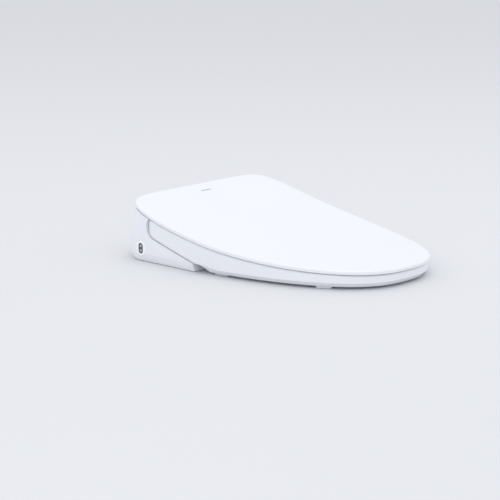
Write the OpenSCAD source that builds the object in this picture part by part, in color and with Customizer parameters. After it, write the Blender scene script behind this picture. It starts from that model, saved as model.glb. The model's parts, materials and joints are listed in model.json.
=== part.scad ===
// Electric bidet seat: soft-close lid and heated ring on a slide-on housing with wand, dryer and deodorizer.
// Origin: midway between the two mounting bolts, on the bowl's rim. -Y is the front, +Z is up.

/* [Lid] */
// Half of the lid's greatest width
lid_half_w = 190; // [180:1:230]
// Reach of the lid ahead of the mounting bolts
lid_front = 467; // [420:1:560]
// Reach of the lid behind the mounting bolts
lid_back = 44.4; // [42:0.2:50]
// Distance of the widest place ahead of the bolts
widest = 137; // [120:1:160]
// Height of the lid's lower edge at the front tip
tip_z = 26.5; // [24:0.5:32]
// Height of the lid's lower edge at the back
back_z = 101.8; // [98:0.2:120]
// Depth by which the edge line sags between tip and back
edge_sag = 21.5; // [10:0.5:24]
// Forward lean of that sag
edge_lean = 16.2; // [0:0.2:20]
// Height of the lid's rim, from its lower edge to its top
lid_edge_h = 7.4; // [6:0.2:10]
// Rise of the lid's middle over its rim
lid_crown = 4; // [2:0.5:8]
// Wall of the lid
lid_wall = 3; // [2:0.2:4]

/* [Seat ring] */
// Gap between the lid's edge and the ring
lid_gap = 1.3; // [0.8:0.1:2]
// How far the ring stands inside the lid's outline
ring_inset = 3.5; // [2:0.5:6]
// Height of the ring's flat underside over the rim
ring_lift = 4.5; // [4:0.1:6]
// Height of the ring's lower bevel
bevel_h = 7; // [4:0.5:9]
// Width of the ring's lower bevel
bevel_w = 6.5; // [3:0.5:9]
// Wall of the ring's shells
ring_wall = 3; // [2:0.2:4]
// Half width of the seat opening
hole_half_w = 107; // [95:1:115]
// Width of the ring at the front
rim_front_w = 74; // [60:1:90]
// Back edge of the seat opening, ahead of the bolts
hole_back = 118; // [112:1:130]
// Depth of the ring's inner slope
dish = 7; // [3:0.5:10]

/* [Housing] */
// Side inset of the housing from the lid's outline
case_inset = 2; // [1:0.5:4]
// Wall of the housing's cover
case_wall = 3; // [2.4:0.2:4]
// Front tips of the side wings, ahead of the bolts
wing_front = 132; // [125:1:150]
// Height of the wing tips under the ring
wing_tip_h = 17.3; // [15:0.1:20]
// Rise of the wings' top edge per millimetre
wing_slope = 0.283; // [0.26:0.001:0.3]
// Width of each wing
wing_w = 38; // [34:1:44]
// Front wall of the housing, ahead of the bolts
front_wall = 80; // [78:1:84]
// Gap between the ring and the housing
ring_gap = 1.7; // [1.2:0.1:2.4]
// Radius of the ring's rounded back edge
ring_back_r = 20.5; // [18:0.5:22]

/* [Mounting] */
// Distance between the two mounting bolts
bolt_spacing = 139.7; // [130:0.1:160]
// Radius of the bolt holes
bolt_r = 4.5; // [3.5:0.1:6]
// Thickness of the base plate
plate_t = 7; // [6:0.5:9]
// Width of the base plate
plate_w = 176; // [170:1:190]

/* [Hinge] */
// Distance of the hinge axis behind the bolts
axis_y = 31; // [30:0.5:32]
// Depth of the hinge axis under the lid's lower edge
axis_drop = 4.5; // [4:0.1:6]
// Radius of the hinge pins
pin_r = 3; // [2.5:0.1:3.5]
// Radius of the hinge eyes
eye_r = 6.5; // [6:0.1:7]
// Inner face of each hinge notch from the middle
notch_in = 98; // [94:1:102]
// Width of each hinge notch
notch_w = 48; // [46:1:52]

/* [Wand] */
// Downward slope of the wand in degrees
wand_tilt = 12; // [8:1:14]
// Height of the wand's axis at the front wall
wand_z = 19.5; // [18.5:0.1:20]
// Radius of the wand
wand_r = 5.2; // [4.5:0.1:5.4]
// Length of the wand
wand_len = 110; // [100:1:112]
// Teeth of the wand's pinion
pinion_teeth = 14; // [14:1:16]

/* [Side button] */
// Distance of the side button ahead of the bolts
button_y = 3.5; // [-2:0.5:6]
// Height of the side button
button_z = 24; // [22:0.5:26]
// Width of the bezel
bezel_w = 22.5; // [18:0.5:24]
// Height of the bezel
bezel_h = 27.5; // [24:0.5:29]
// Width of the button
button_w = 11; // [9:0.5:13]
// Height of the button
button_h = 19; // [16:0.5:20]

/* [Water and air] */
// Outer radius of the G1/2 inlet thread
inlet_r = 10.48; // [10:0.01:11]
// Distance of the inlet from the middle
inlet_x = 127; // [120:1:132]
// Bore of the cord gland
gland_r = 3.6; // [3:0.1:4.5]
// Radius of the blower drum
drum_r = 26; // [22:0.5:26]
// Side of the dryer duct
duct_w = 42; // [36:1:42]

/* [Hidden] */
$fn = 48;

white = [0.95, 0.96, 0.98];
grey = [0.6, 0.62, 0.65];
dark = [0.2, 0.21, 0.23];
fit = 0.3;            // clearance between parts that are fitted together
seat = 0.2;           // clearance between faces that rest on each other
run = 0.06;           // radial clearance of a turning pin
outline_points = 80;  // points round the lid and the ring
eps = 0.01;

axis_z = seam_z(axis_y) - axis_drop;
barrel_r = pin_r + 4.5;
notch_out = notch_in + notch_w;
cheek_t = 3.5;
wing_in = lid_half_w - case_inset - wing_w;
case_half_w = lid_half_w - case_inset;
floor_z = plate_t + fit;     // underside of the lower case's floor
floor_t = 2.5;
deck = floor_z + floor_t;    // what the inner parts stand on
pi = 3.14159265;

// ---------- lines and outlines ----------

// Height of the lid's lower edge at a distance y
function seam_z(y) =
    let (s = (y + lid_front) / (lid_front + lid_back))
    tip_z + (back_z - tip_z) * s - 4 * edge_sag * s * (1 - s) - edge_lean * s * (1 - s) * (2 * s - 1);

flat_end = wing_front + 35;   // where the ring's flat underside ends
bevel_end = wing_front + 58;  // where the bevel's top edge starts to rise

// Height of the ring's underside
function under_z(y) =
    y > -wing_front ? wing_tip_h + wing_slope * (y + wing_front)
    : y > -flat_end ? ring_lift + (wing_tip_h - ring_lift) * (y + flat_end) / (flat_end - wing_front)
    : ring_lift;

// Height of the ring's side wall over its bevel
function bevel_z(y) =
    y > -wing_front ? under_z(y)
    : y > -bevel_end ? ring_lift + bevel_h
        + (wing_tip_h - ring_lift - bevel_h) * (y + bevel_end) / (bevel_end - wing_front)
    : ring_lift + bevel_h;

// Outlines: [half width, front, back, widest, front exponents in y and x, back exponents in y and x]
lid_line = [lid_half_w, -lid_front, lid_back, -widest, 1.74, 2.61, 4.65, 9];
ring_back = -18.1;   // back edge of the ring
ring_line = [lid_half_w - ring_inset, -lid_front + ring_inset, ring_back, -widest, 1.74, 2.61, 11, 11];
ring_corner_r = 5;   // radius of the ring's back corners, seen from above
hole_mid = hole_back + (lid_front - rim_front_w - hole_back) * 0.44;
hole_line = [hole_half_w, -lid_front + rim_front_w, -hole_back, -hole_mid, 2.15, 2.15, 2.4, 2.4];

function inset(o, d) = [o[0] - d, o[1] + d, o[2] - d, o[3], o[4], o[5], o[6], o[7]];

// Point of an outline at an angle t: 0 is the front tip, 90 the +X side, 180 the back
function outline_pt(o, t) =
    let (s = abs(sin(t)), c = cos(t), side = sin(t) < 0 ? -1 : 1)
    c >= 0 ? [side * o[0] * pow(s, 2 / o[5]), o[3] - (o[3] - o[1]) * pow(c, 2 / o[4])]
    : [side * o[0] * pow(s, 2 / o[7]), o[3] + (o[2] - o[3]) * pow(-c, 2 / o[6])];

// Half width of an outline at a distance y
function half_w_at(o, y) =
    y < o[3] ? o[0] * pow(1 - pow((o[3] - y) / (o[3] - o[1]), o[4]), 1 / o[5])
    : o[0] * pow(1 - pow((y - o[3]) / (o[2] - o[3]), o[6]), 1 / o[7]);

// Point of the ring's outline, d inside it: it follows the lid's outline and ends in a straight back edge
function ring_pt(t, d) =
    let (back = ring_back - d, side = t > 180 ? -1 : 1, f = ((t > 180 ? 360 - t : t) - 90) / 90,
        r = max(ring_corner_r - d, 0.8), cy = back - r, cx = half_w_at(lid_line, cy) - ring_inset - d - r)
    f <= 0 ? outline_pt(inset(ring_line, d), t)
    : f < 0.45 ? let (y = -widest + (cy + widest) * f / 0.45) [side * (half_w_at(lid_line, y) - ring_inset - d), y]
    : f < 0.6 ? let (a = (f - 0.45) / 0.15 * 90) [side * (cx + r * cos(a)), cy + r * sin(a)]
    : [side * cx * (1 - f) / 0.4, back];

angles = [for (i = [0 : outline_points - 1]) 360 * i / outline_points];

// ---------- general solids ----------

function centre(r) = [for (k = [0 : 2]) (min([for (p = r) p[k]]) + max([for (p = r) p[k]])) / 2];

// Skin over a stack of rings, closed at both ends
module loft(rings, first, last) {
    n = len(rings[0]);
    m = len(rings);
    sides = [for (k = [0 : m - 2]) for (i = [0 : n - 1]) let (j = (i + 1) % n)
        each [[k * n + i, k * n + n + i, k * n + n + j], [k * n + i, k * n + n + j, k * n + j]]];
    caps = [for (i = [0 : n - 1]) let (j = (i + 1) % n, e = (m - 1) * n)
        each [[m * n, i, j], [m * n + 1, e + j, e + i]]];
    polyhedron(concat([for (r = rings) each r], [first, last]), concat(sides, caps));
}

// Skin over a stack of rings whose last ring joins the first
module loop_loft(rings) {
    n = len(rings[0]);
    m = len(rings);
    polyhedron([for (r = rings) each r], [for (k = [0 : m - 1]) for (i = [0 : n - 1])
        let (j = (i + 1) % n, a = k * n, b = ((k + 1) % m) * n)
        each [[a + i, b + i, b + j], [a + i, b + j, a + j]]]);
}

// Evaluates its children as one mesh
module as_mesh() {
    resize([0, 0, 0]) children();
}

// Extrudes a drawing in (y, z) along X, between x0 and x1
module across(x0, x1) {
    translate([x0, 0, 0]) rotate([90, 0, 90]) linear_extrude(x1 - x0) children();
}

// Copies its children to both sides of the middle
module both_sides() {
    children();
    mirror([1, 0, 0]) children();
}

module box(lo, hi) {
    translate(lo) cube(hi - lo);
}

// Flat shape with round ends, along x
module stadium(len, w) {
    square([len - w, w], center = true);
    for (s = [-1, 1]) translate([s * (len - w) / 2, 0]) circle(w / 2);
}

module rod_x(r, x0, x1, y, z) {
    translate([x0, y, z]) rotate([0, 90, 0]) cylinder(r = r, h = x1 - x0);
}

module rod_y(r, y0, y1, x, z) {
    translate([x, y0, z]) rotate([-90, 0, 0]) cylinder(r = r, h = y1 - y0);
}

module rod_z(r, z0, z1, x, y) {
    translate([x, y, z0]) cylinder(r = r, h = z1 - z0);
}

// ---------- lid ----------

// Ring of the lid's skin: d inside the outline, shrunk to k, at height h over the edge line
function lid_ring(d, k, h) = [for (t = angles)
    let (p = outline_pt(inset(lid_line, d), t), y = -widest + (p.y + widest) * k)
    [p.x * k, y, seam_z(y) + h + lid_crown * (1 - k * k)]];

lid_shrink = [0.25, 0.5, 0.72, 0.88];

module lid_cover() color(white) {
    h = lid_edge_h;
    w = lid_wall;
    over = [for (k = [3 : -1 : 0]) lid_ring(5, lid_shrink[k], h)];
    under = [for (k = lid_shrink) lid_ring(w + 5, k, h - w)];
    rim = [lid_ring(w + 5, 1, h - w - 0.4), lid_ring(w + 1.5, 1, h - w - 1.6), lid_ring(w, 1, h - w - 3.2),
        lid_ring(w, 1, 0), lid_ring(0.6, 1, 0), lid_ring(0, 1, 0.6), lid_ring(0, 1, h - 3.6),
        lid_ring(0.8, 1, h - 1.7), lid_ring(2.4, 1, h - 0.5), lid_ring(5, 1, h)];
    mid = seam_z(-widest) + lid_crown + h;
    as_mesh() loft(concat(under, rim, over), [0, -widest, mid - w], [0, -widest, mid]);
}

lug_x = notch_in + 26;
lug_w = 16;
lug_front = 0;
lug_back = axis_y + 5;

// Underside of the lid near its back, without its crown
function ceiling_z(y) = seam_z(y) + lid_edge_h - lid_wall - seat;

module lid_lugs() color(white) both_sides() difference() {
    across(lug_x, lug_x + lug_w) union() {
        polygon([[lug_front, ceiling_z(lug_front)], [lug_front, ceiling_z(lug_front) - 3],
            [axis_y - 10, ceiling_z(axis_y - 10) - 4.5], [axis_y - eye_r, axis_z], [axis_y + eye_r, axis_z],
            [lug_back, ceiling_z(lug_back) - 1]]);
        translate([axis_y, axis_z]) circle(eye_r);
    }
    rod_x(pin_r + run, lug_x - 1, lug_x + lug_w + 1, axis_y, axis_z);
}

bumper_y = [-lid_front + 30, -widest - 40];

module lid_bumpers() color(grey) both_sides() for (y = bumper_y) {
    x = half_w_at(ring_line, y) - 24;
    top = min(seam_z(y - 4), seam_z(y + 4)) + lid_edge_h - lid_wall - 2 * seat;
    rod_z(4, seam_z(y) - lid_gap + 0.5, top, x, y);
}

badge_y = 16;
badge_w = 25;

module lid_badge() color(grey) {
    z = seam_z(badge_y) + lid_edge_h + lid_crown * (1 - pow((badge_y + widest) / (lid_back + widest), 2));
    translate([0, badge_y, z + 0.15]) rotate([8.2, 0, 0]) linear_extrude(0.4) stadium(badge_w, 2.4);
}

// ---------- seat ring ----------

hole_turn = 26;  // how far the opening's points run ahead of the outline's

// Ring of the seat's skin: share e of the way in, d inside the walls, at height z = f(y)
function seat_ring(e, d, h, low) = [for (t = angles)
    let (o = ring_pt(t, d), i = outline_pt(inset(hole_line, -d), t + hole_turn * sin(t)),
        x = o.x + (i.x - o.x) * e, y = o.y + (i.y - o.y) * e)
    [x, y, low ? under_z(y) - 2 : seam_z(y) - lid_gap + h]];

// Ring of the bevel, at its foot or at its top
function bevel_ring(d, top) = [for (t = angles)
    let (o = ring_pt(t, d))
    [o.x, o.y, top ? bevel_z(o.y) : under_z(o.y) - 0.05]];

// Heights over the top surface, from the outer edge to the opening
function seat_skin(d) = [
    bevel_ring(bevel_w + d, false), bevel_ring(d, true), seat_ring(0, d, -3 - d, false),
    seat_ring(0.02, d, -0.8 - d, false), seat_ring(0.07, d, -d, false), seat_ring(0.35, d, -d - 0.6, false),
    seat_ring(0.62, d, -d - dish * 0.45, false), seat_ring(0.84, d, -d - dish, false),
    seat_ring(0.95, d, -d - dish - 2.6, false), seat_ring(1, d, -d - dish - 7, false), seat_ring(1, d, 0, true)];

back_cy = ring_back - ring_back_r;
back_cz = under_z(back_cy + ring_back_r * 0.272) + ring_back_r * 0.962;

// Side view of the room under the ring, grown by g: the ring's underside and its rounded back
function ring_under(g) = concat(
    [[-lid_front - 10, ring_lift - g], [-flat_end, ring_lift - g], [-wing_front, wing_tip_h - g]],
    [for (a = [-74 : 7 : 45]) [back_cy + (ring_back_r + g) * cos(a), back_cz + (ring_back_r + g) * sin(a)]]);

// The ring's solid, d inside its own surface
module ring_body(d) intersection() {
    loop_loft(seat_skin(d));
    across(-lid_half_w, lid_half_w) polygon(concat(ring_under(-d), [[back_cy, 200], [-lid_front - 10, 200]]));
}

arm_x = notch_in + 5;
arm_w = 18;
foot = [-32.4, ring_back - ring_wall - 1.9];  // reach of each arm's foot inside the ring

// Side view of a ring arm, grown by g
module arm_profile(g) {
    front_y = ring_back - 6;
    front_z = 71;
    translate([axis_y, axis_z]) circle(eye_r + g);
    polygon([[axis_y, axis_z + eye_r + g], [front_y, front_z + 4.5 + g], [front_y, front_z - 5 - g],
        [axis_y, axis_z - eye_r - g]]);
}

split_h = bevel_h;  // height of the lower shell over the ring's underside

module lower_band(grow) {
    across(-lid_half_w, lid_half_w) polygon([[-lid_front - 10, -5], [-lid_front - 10, ring_lift + split_h + grow],
        [-bevel_end, ring_lift + split_h + grow], [-wing_front, wing_tip_h + 3 + grow],
        [back_cy + 8, under_z(back_cy + 8) + 3 + grow], [back_cy + 8, -5]]);
}

module ring_openings() {
    both_sides() across(arm_x - fit, arm_x + arm_w + fit) arm_profile(fit);
}

module seat_top() color(white) as_mesh() difference() {
    ring_body(0);
    ring_body(ring_wall);
    lower_band(0.1);
    ring_openings();
}

module seat_base() color(white) as_mesh() intersection() {
    difference() {
        ring_body(0);
        ring_body(ring_wall);
    }
    lower_band(0);
}

module seat_heater() color([0.75, 0.5, 0.3]) {
    t = 0.5;
    d = ring_wall + seat;
    as_mesh() loop_loft([
        seat_ring(0.12, d, -d - t, false), seat_ring(0.12, d, -d - 0.1, false), seat_ring(0.35, d, -d - 0.6, false),
        seat_ring(0.62, d, -d - dish * 0.45, false), seat_ring(0.8, d, -d - dish, false),
        seat_ring(0.8, d, -d - dish - t, false), seat_ring(0.62, d, -d - dish * 0.45 - t, false),
        seat_ring(0.35, d, -d - 0.6 - t, false)]);
}

pad_y = [-lid_front + 91, -flat_end - 18];
pad_turn = [58, 84];

module seat_bumpers() color([0.9, 0.91, 0.92]) both_sides() for (k = [0, 1]) {
    x = half_w_at(ring_line, pad_y[k]) - bevel_w - 9;
    translate([x, pad_y[k], 0]) rotate([0, 0, pad_turn[k]]) linear_extrude(ring_lift) stadium(28, 9);
}

function foot_top(y) = seam_z(y) - lid_gap - ring_wall - seat;

module ring_arms() color(white) both_sides() difference() {
    union() {
        across(arm_x, arm_x + arm_w) arm_profile(0);
        across(arm_x - 3, arm_x + arm_w + 3) polygon([[foot[0], 64], [foot[0], foot_top(foot[0])],
            [foot[1] - 4, foot_top(foot[1] - 4) - 0.4], [foot[1], back_cz + 7], [foot[1], 64]]);
    }
    rod_x(pin_r + run, arm_x - 1, arm_x + arm_w + 1, axis_y, axis_z);
}

// ---------- housing ----------

// Levels of the cover: [height, side inset, reach behind the bolts, radius of the back corners]
case_levels = [[-1, 6.3, 36, 32], [6, 3.4, 44, 36], [15, 0, 47, 40], [35, 0, 44, 40], [38.5, 0, 53, 44],
    [56, 0.2, 44.7, 38], [80, 1, 31, 28], [90, 2, 24.6, 24], [120, 5, 10, 20]];
corner_steps = 8;

function case_ring(level, d) =
    let (hw = case_half_w - level[1] - d, back = level[2] - d, r = level[3] - d)
    concat([[-hw, -wing_front + d, level[0]], [hw, -wing_front + d, level[0]]],
        [for (i = [0 : corner_steps]) let (a = 90 * i / corner_steps)
            [hw - r + r * cos(a), back - r + r * sin(a), level[0]]],
        [for (i = [0 : corner_steps]) let (a = 90 + 90 * i / corner_steps)
            [-hw + r + r * cos(a), back - r + r * sin(a), level[0]]]);

module case_loft(d, lift) {
    rings = [for (l = case_levels) case_ring(l + [lift, 0, 0, 0], d)];
    loft(rings, centre(rings[0]), centre(rings[len(rings) - 1]));
}

seam_steps = 5;

// Height of the housing's top under the lid, d inside its surface
function top_z(y, d) = seam_z(y) - lid_gap - d;

// Side view of the housing, d inside its own surface
module case_profile(d) {
    g = ring_gap + d;
    front = [for (p = ring_under(g)) if (p.x > -flat_end - 1 && p.y < top_z(p.x, d) - 0.6) p];
    top_y = front[len(front) - 1].x + 0.4;
    polygon(concat([[-flat_end, -5]], front,
        [for (i = [0 : seam_steps]) let (y = top_y + (22 - top_y) * i / seam_steps) [y, top_z(y, d)]],
        [[70, top_z(22, d) + 6], [70, -5]]));
}

// The housing's solid, d inside its own surface
module case_body(d, lift) difference() {
    intersection() {
        case_loft(d, lift);
        across(-lid_half_w, lid_half_w) case_profile(d);
    }
    box([-wing_in - d, -wing_front - 50, -10], [wing_in + d, -front_wall + d, 100]);
}

notch_floor = 61;     // height of the notch's floor at its front
notch_front = -17;
notch_rise = 0.527;   // slope of the notch's floor
notch_flat = 20;      // where the floor turns level

function notch_z(y) = notch_floor + notch_rise * (min(y, notch_flat) - notch_front);

// Room for the hinge in side view, above a floor lowered by g
module notch_void(g) {
    polygon([[-40, notch_z(-40) - g], [notch_flat, notch_z(notch_flat) - g], [70, notch_z(notch_flat) - g],
        [70, 130], [-40, 130]]);
}

bracket_floor = 2.5;

module bracket_profile() {
    polygon([[notch_front, notch_z(notch_front) - bracket_floor], [notch_flat, notch_z(notch_flat) - bracket_floor],
        [axis_y, axis_z - barrel_r], [axis_y, axis_z + barrel_r], [axis_y - 7, seam_z(axis_y - 7) - lid_gap - 1],
        [notch_front, seam_z(notch_front) - lid_gap - 1]]);
    translate([axis_y, axis_z]) circle(barrel_r);
}

module hinge_brackets() color(grey) both_sides() difference() {
    across(notch_in, notch_out) bracket_profile();
    across(notch_in + cheek_t, notch_out - cheek_t) notch_void(0);
    rod_x(pin_r, notch_in - 1, notch_out + 1, axis_y, axis_z);
}

module hinge_pins() color([0.75, 0.76, 0.78]) both_sides()
    rod_x(pin_r, notch_in, notch_out, axis_y, axis_z);

damper_len = 38;
damper_r = 6;

module damper() {
    rod_x(damper_r, notch_in - damper_len, notch_in - seat, axis_y, axis_z);
    rod_x(damper_r - 2, notch_in - damper_len - 3, notch_in - damper_len + eps, axis_y, axis_z);
}

module lid_damper() color([0.25, 0.26, 0.28]) damper();

module ring_damper() color([0.25, 0.26, 0.28]) mirror([1, 0, 0]) damper();

// Side view of the hinge barrels on the cover
module barrel_profile() {
    translate([axis_y, axis_z]) circle(barrel_r);
    polygon([[0, seam_z(0) - 14], [axis_y, axis_z - 12], [axis_y + 6.8, axis_z - 3], [axis_y, axis_z + barrel_r],
        [axis_y - 7, seam_z(axis_y - 7) - lid_gap], [0, seam_z(0) - lid_gap - 1]]);
}

barrel_in = notch_in - damper_len - 8;
cap_w = 5;
boss_r = 4;
back_face = 47.1;  // where the fittings' flanges rest on the back of the cover
slot_w = 200;  // width of the way out for the plate at the back

filter_y = [-63, -33];
filter_z = [11.6, 25];
release_y = -13;
release_z = 14.6;
strainer_x = 96;
inlet_z = 22;
gland_x = 125;
screw_spots = [[162, -92], [157, 12]];

// Where the cover's mouldings meet: beside its middle, and above its back wall
side_split = 146;
back_split = [15, 60];

module upper_cover() color(white) as_mesh() difference() {
    cover_body();
    both_sides() across(side_split, 300) square(1000, center = true);
    back_region();
}

module cover_sides() color(white) as_mesh() intersection() {
    cover_body();
    both_sides() across(side_split, 300) square(1000, center = true);
}

module cover_back() color(white) as_mesh() intersection() {
    cover_body();
    back_region();
}

module back_region() box([-side_split, back_split[0], -50], [side_split, 200, back_split[1]]);

module cover_body() difference() {
    union() {
        difference() {
            case_body(0, 0);
            case_body(case_wall, -eps);
            box([-lid_half_w, -200, -20], [lid_half_w, 200, 0.6]);
        }
        both_sides() {
            across(barrel_in, notch_in - seat) barrel_profile();
            across(notch_out + seat, notch_out + cap_w) barrel_profile();
        }
        both_sides() for (s = screw_spots) intersection() {
            rod_z(boss_r, deck + seat, 100, s.x, s.y);
            case_body(case_wall / 2, 0);
        }
    }
    both_sides() {
        rod_x(damper_r + seat, notch_in - damper_len - 3.2, notch_in + 1, axis_y, axis_z);
        across(notch_in - seat, notch_out + seat) {
            notch_void(bracket_floor + seat);
        }
        for (s = screw_spots) rod_z(1.6, 0, 30, s.x, s.y);
    }
    // opening for the front panel
    box([-panel_w / 2 - fit, -front_wall - 1, -1], [panel_w / 2 + fit, -front_wall + case_wall + 1, panel_top + fit]);
    // way out for the base plate at the back
    box([-slot_w / 2, 0, -1], [slot_w / 2, 80, floor_z]);
    // side button
    translate([0, -button_y, button_z]) rotate([0, -90, 0]) linear_extrude(300) stadium(bezel_h + seat, bezel_w + seat);
    // filter drawer and release button
    box([150, filter_y[0] - fit, filter_z[0] - fit], [230, filter_y[1] + fit, filter_z[1] + fit]);
    translate([170, release_y, release_z]) rotate([0, 90, 0]) linear_extrude(60) stadium(9 + fit, 9 + fit - 0.1);
    // water inlet, strainer and cord gland
    rod_y(inlet_stem_r + fit, 20, 80, -inlet_x, inlet_z);
    rod_y(8 + fit, 20, 80, -strainer_x, inlet_z);
    rod_y(8 + fit, 20, 80, gland_x, inlet_z);
}

tray_gap = 0.6;

// Plan of the lower case, d inside its edge
module tray_plan(d) {
    e = case_wall + tray_gap + d;
    hw = case_half_w - 6.3 - e;
    back = 36 - e;
    r = 32 - e;
    difference() {
        union() {
            translate([-hw, -wing_front + e]) square([2 * hw, wing_front + back - r - e]);
            translate([-hw + r, 0]) square([2 * (hw - r), back]);
            for (s = [-1, 1]) translate([s * (hw - r), back - r]) circle(r);
        }
        translate([-wing_in - e, -wing_front - 50]) square([2 * (wing_in + e), 50 + wing_front - front_wall + e]);
    }
}

rail_lip = 6;
latch_y = [-17.5, -8.5];

module lower_case() color([0.88, 0.89, 0.91]) difference() {
    union() {
        translate([0, 0, floor_z]) linear_extrude(floor_t) tray_plan(0);
        translate([0, 0, 0.5]) linear_extrude(deck - 0.5) difference() {
            tray_plan(0);
            tray_plan(2.5);
        }
        // rails that hold the plate
        rail(-1, -44, 12);
        rail(1, -4, 12);
        // standoffs for the main board
        for (x = board_x, y = board_y) rod_z(2.5, deck - eps, deck + 2, x + (x < 120 ? 4 : -4), y + (y < -40 ? 4 : -4));
    }
    for (s = screw_spots, m = [-1, 1]) rod_z(1.6, 0, deck + 5, m * s.x, s.y);
    box([84, latch_y[0] - fit, floor_z - 1], [98, latch_y[1] + fit, deck + 1]);
    box([-slot_w / 2, 0, -1], [slot_w / 2, 80, floor_z]);
    box([-plate_w / 2, -90, -1], [plate_w / 2, -60, floor_z]);
}

module rail(side, y0, y1) {
    x = plate_w / 2;
    mirror([side < 0 ? 1 : 0, 0, 0]) {
        box([x + fit, y0, 0.5], [x + fit + 4, y1, floor_z + eps]);
        box([x - rail_lip + fit, y0, 0.5], [x + fit + 1, y1, 3]);
    }
}

foot_spots = [[160, -62], [135, 12]];

module rubber_feet() color(dark) both_sides() for (f = foot_spots) rod_z(8, 0, floor_z, f.x, f.y);

module case_screws() color([0.7, 0.71, 0.73]) both_sides() for (s = screw_spots) difference() {
    union() {
        rod_z(3.4, floor_z - 2.2, floor_z, s.x, s.y);
        rod_z(1.5, floor_z - eps, deck + 6, s.x, s.y);
    }
    for (a = [0, 90]) translate([s.x, s.y, floor_z - 2.2]) rotate([0, 0, a]) cube([4, 0.8, 2], center = true);
}

panel_w = 280;
panel_top = 27.2;
outlet_x = 50;      // inner edge of the dryer's outlet
outlet_z = [12.5, 22.5];
flap_pin_z = 24.3;

module front_panel() color(white) difference() {
    union() {
        box([-panel_w / 2, -front_wall, floor_z - 1], [panel_w / 2, -front_wall + case_wall, panel_top]);
        for (x = [outlet_x - 1.6, outlet_x + duct_w - 0.4]) difference() {
            box([x, -front_wall - 2.4, flap_pin_z - 1.7], [x + 2, -front_wall + eps, flap_pin_z + 1.7]);
            rod_x(0.8, x - 1, x + 3, -front_wall - 1.2, flap_pin_z);
        }
    }
    in_wand() rod_y(wand_r + fit, -20, 20, 0, 0);
    in_wand() box([0, -5, -1.2], [10, 20, 4.2]);
    box([outlet_x + 3, -front_wall - 1, outlet_z[0]], [outlet_x + duct_w - 3, -70, outlet_z[1]]);
    for (k = [0 : 5]) box([110 + 4.5 * k, -front_wall - 1, 13], [112.4 + 4.5 * k, -70, 24]);
}

// ---------- fixed plate ----------

plate_y = [-48, 18];
notch_x = 85.5;

module base_plate() color([0.8, 0.81, 0.83]) difference() {
    union() {
        box([-plate_w / 2, plate_y[0], 3.4], [plate_w / 2, plate_y[1], plate_t]);
        box([-plate_w / 2 + rail_lip, plate_y[0], pad_t], [plate_w / 2 - rail_lip, plate_y[1], 3.5]);
    }
    box([notch_x, plate_y[0] + 4, -1], [plate_w, latch_y[1] + 2.5, plate_t + 1]);
    for (s = [-1, 1]) translate([s * bolt_spacing / 2, 0, 0]) {
        translate([0, 0, -1]) linear_extrude(plate_t + 2) rotate(90) stadium(26, 2 * bolt_r + 2);
        translate([0, 0, 3]) linear_extrude(plate_t) square([22.6, 33], center = true);
    }
    for (x = [-45, 0, 45]) translate([x, -16, -1]) linear_extrude(plate_t + 2) stadium(30, 12);
}

module plate_adjusters() color(grey) for (s = [-1, 1]) translate([s * bolt_spacing / 2, 0, 3]) difference() {
    union() {
        translate([0, 0, 1.2]) cube([22, 28, 2.4], center = true);
        for (k = [-4 : 4]) translate([0, 3 * k, 2.6]) cube([22, 1.2, 0.8], center = true);
        // sleeve through the plate's slot, down to the bowl
        translate([0, 0, -3]) cylinder(r = bolt_r + 0.8, h = 4);
    }
    translate([0, 0, -4]) cylinder(r = bolt_r, h = 11);
}

pad_t = 0.8;

module plate_pads() color(dark) for (s = [-1, 1]) for (y = [plate_y[0] + 5, plate_y[1] - 2.5])
    translate([s * 30, y, 0]) linear_extrude(pad_t) stadium(40, 4);

module plate_catch() color(grey) {
    x = notch_x + 6.2;
    box([x, plate_y[0] + 4 - fit, 3.4], [x + 3.3, latch_y[0] - fit, plate_t - 0.4]);
    box([notch_x + 2.5 + fit, plate_y[0], 3.4], [x + 3.3, plate_y[0] + 4 - fit, plate_t - 0.4]);
}

// ---------- wand ----------

// Wand's own frame: y runs backwards along its axis from the front wall
module in_wand() {
    translate([0, -front_wall, wand_z]) rotate([wand_tilt, 0, 0]) children();
}

// Point of the wand's frame in side view
function wand_pt(s, h) =
    [-front_wall + s * cos(wand_tilt) - h * sin(wand_tilt), wand_z + s * sin(wand_tilt) + h * cos(wand_tilt)];

tip_len = 14;
tip_round = 1.6;
rack_z = [-0.5, 3.5];
pitch_x = wand_r + 3;      // pitch line of the rack
pinion_s = 30;             // place of the pinion along the wand
pinion_r = pinion_teeth / 2;
pinion_x = pitch_x + pinion_r;

module wand_tube() color([0.93, 0.94, 0.95]) in_wand() difference() {
    rod_y(wand_r, tip_len, wand_len, 0, 0);
    rod_y(wand_r - 1.4, tip_len - 1, wand_len + 1, 0, 0);
}

module nozzle_tip() color([0.9, 0.91, 0.92]) in_wand() difference() {
    rotate([-90, 0, 0]) rotate_extrude() polygon(concat([[0, tip_len], [0, 0]],
        [for (a = [0 : 15 : 90]) [wand_r - tip_round * (1 - sin(a)), tip_round * (1 - cos(a))]],
        [[wand_r, tip_len]]));
    for (a = [0 : 60 : 300]) rod_z(0.45, 0, wand_r + 1, 1.5 * cos(a), 8 + 1.5 * sin(a));
    rod_z(0.6, 0, wand_r + 1, 0, 4.4);
}

rack_teeth = 32;
rack_tip = 0.8;
rack_root = 1.25;
tooth_play = 0.06;

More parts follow.
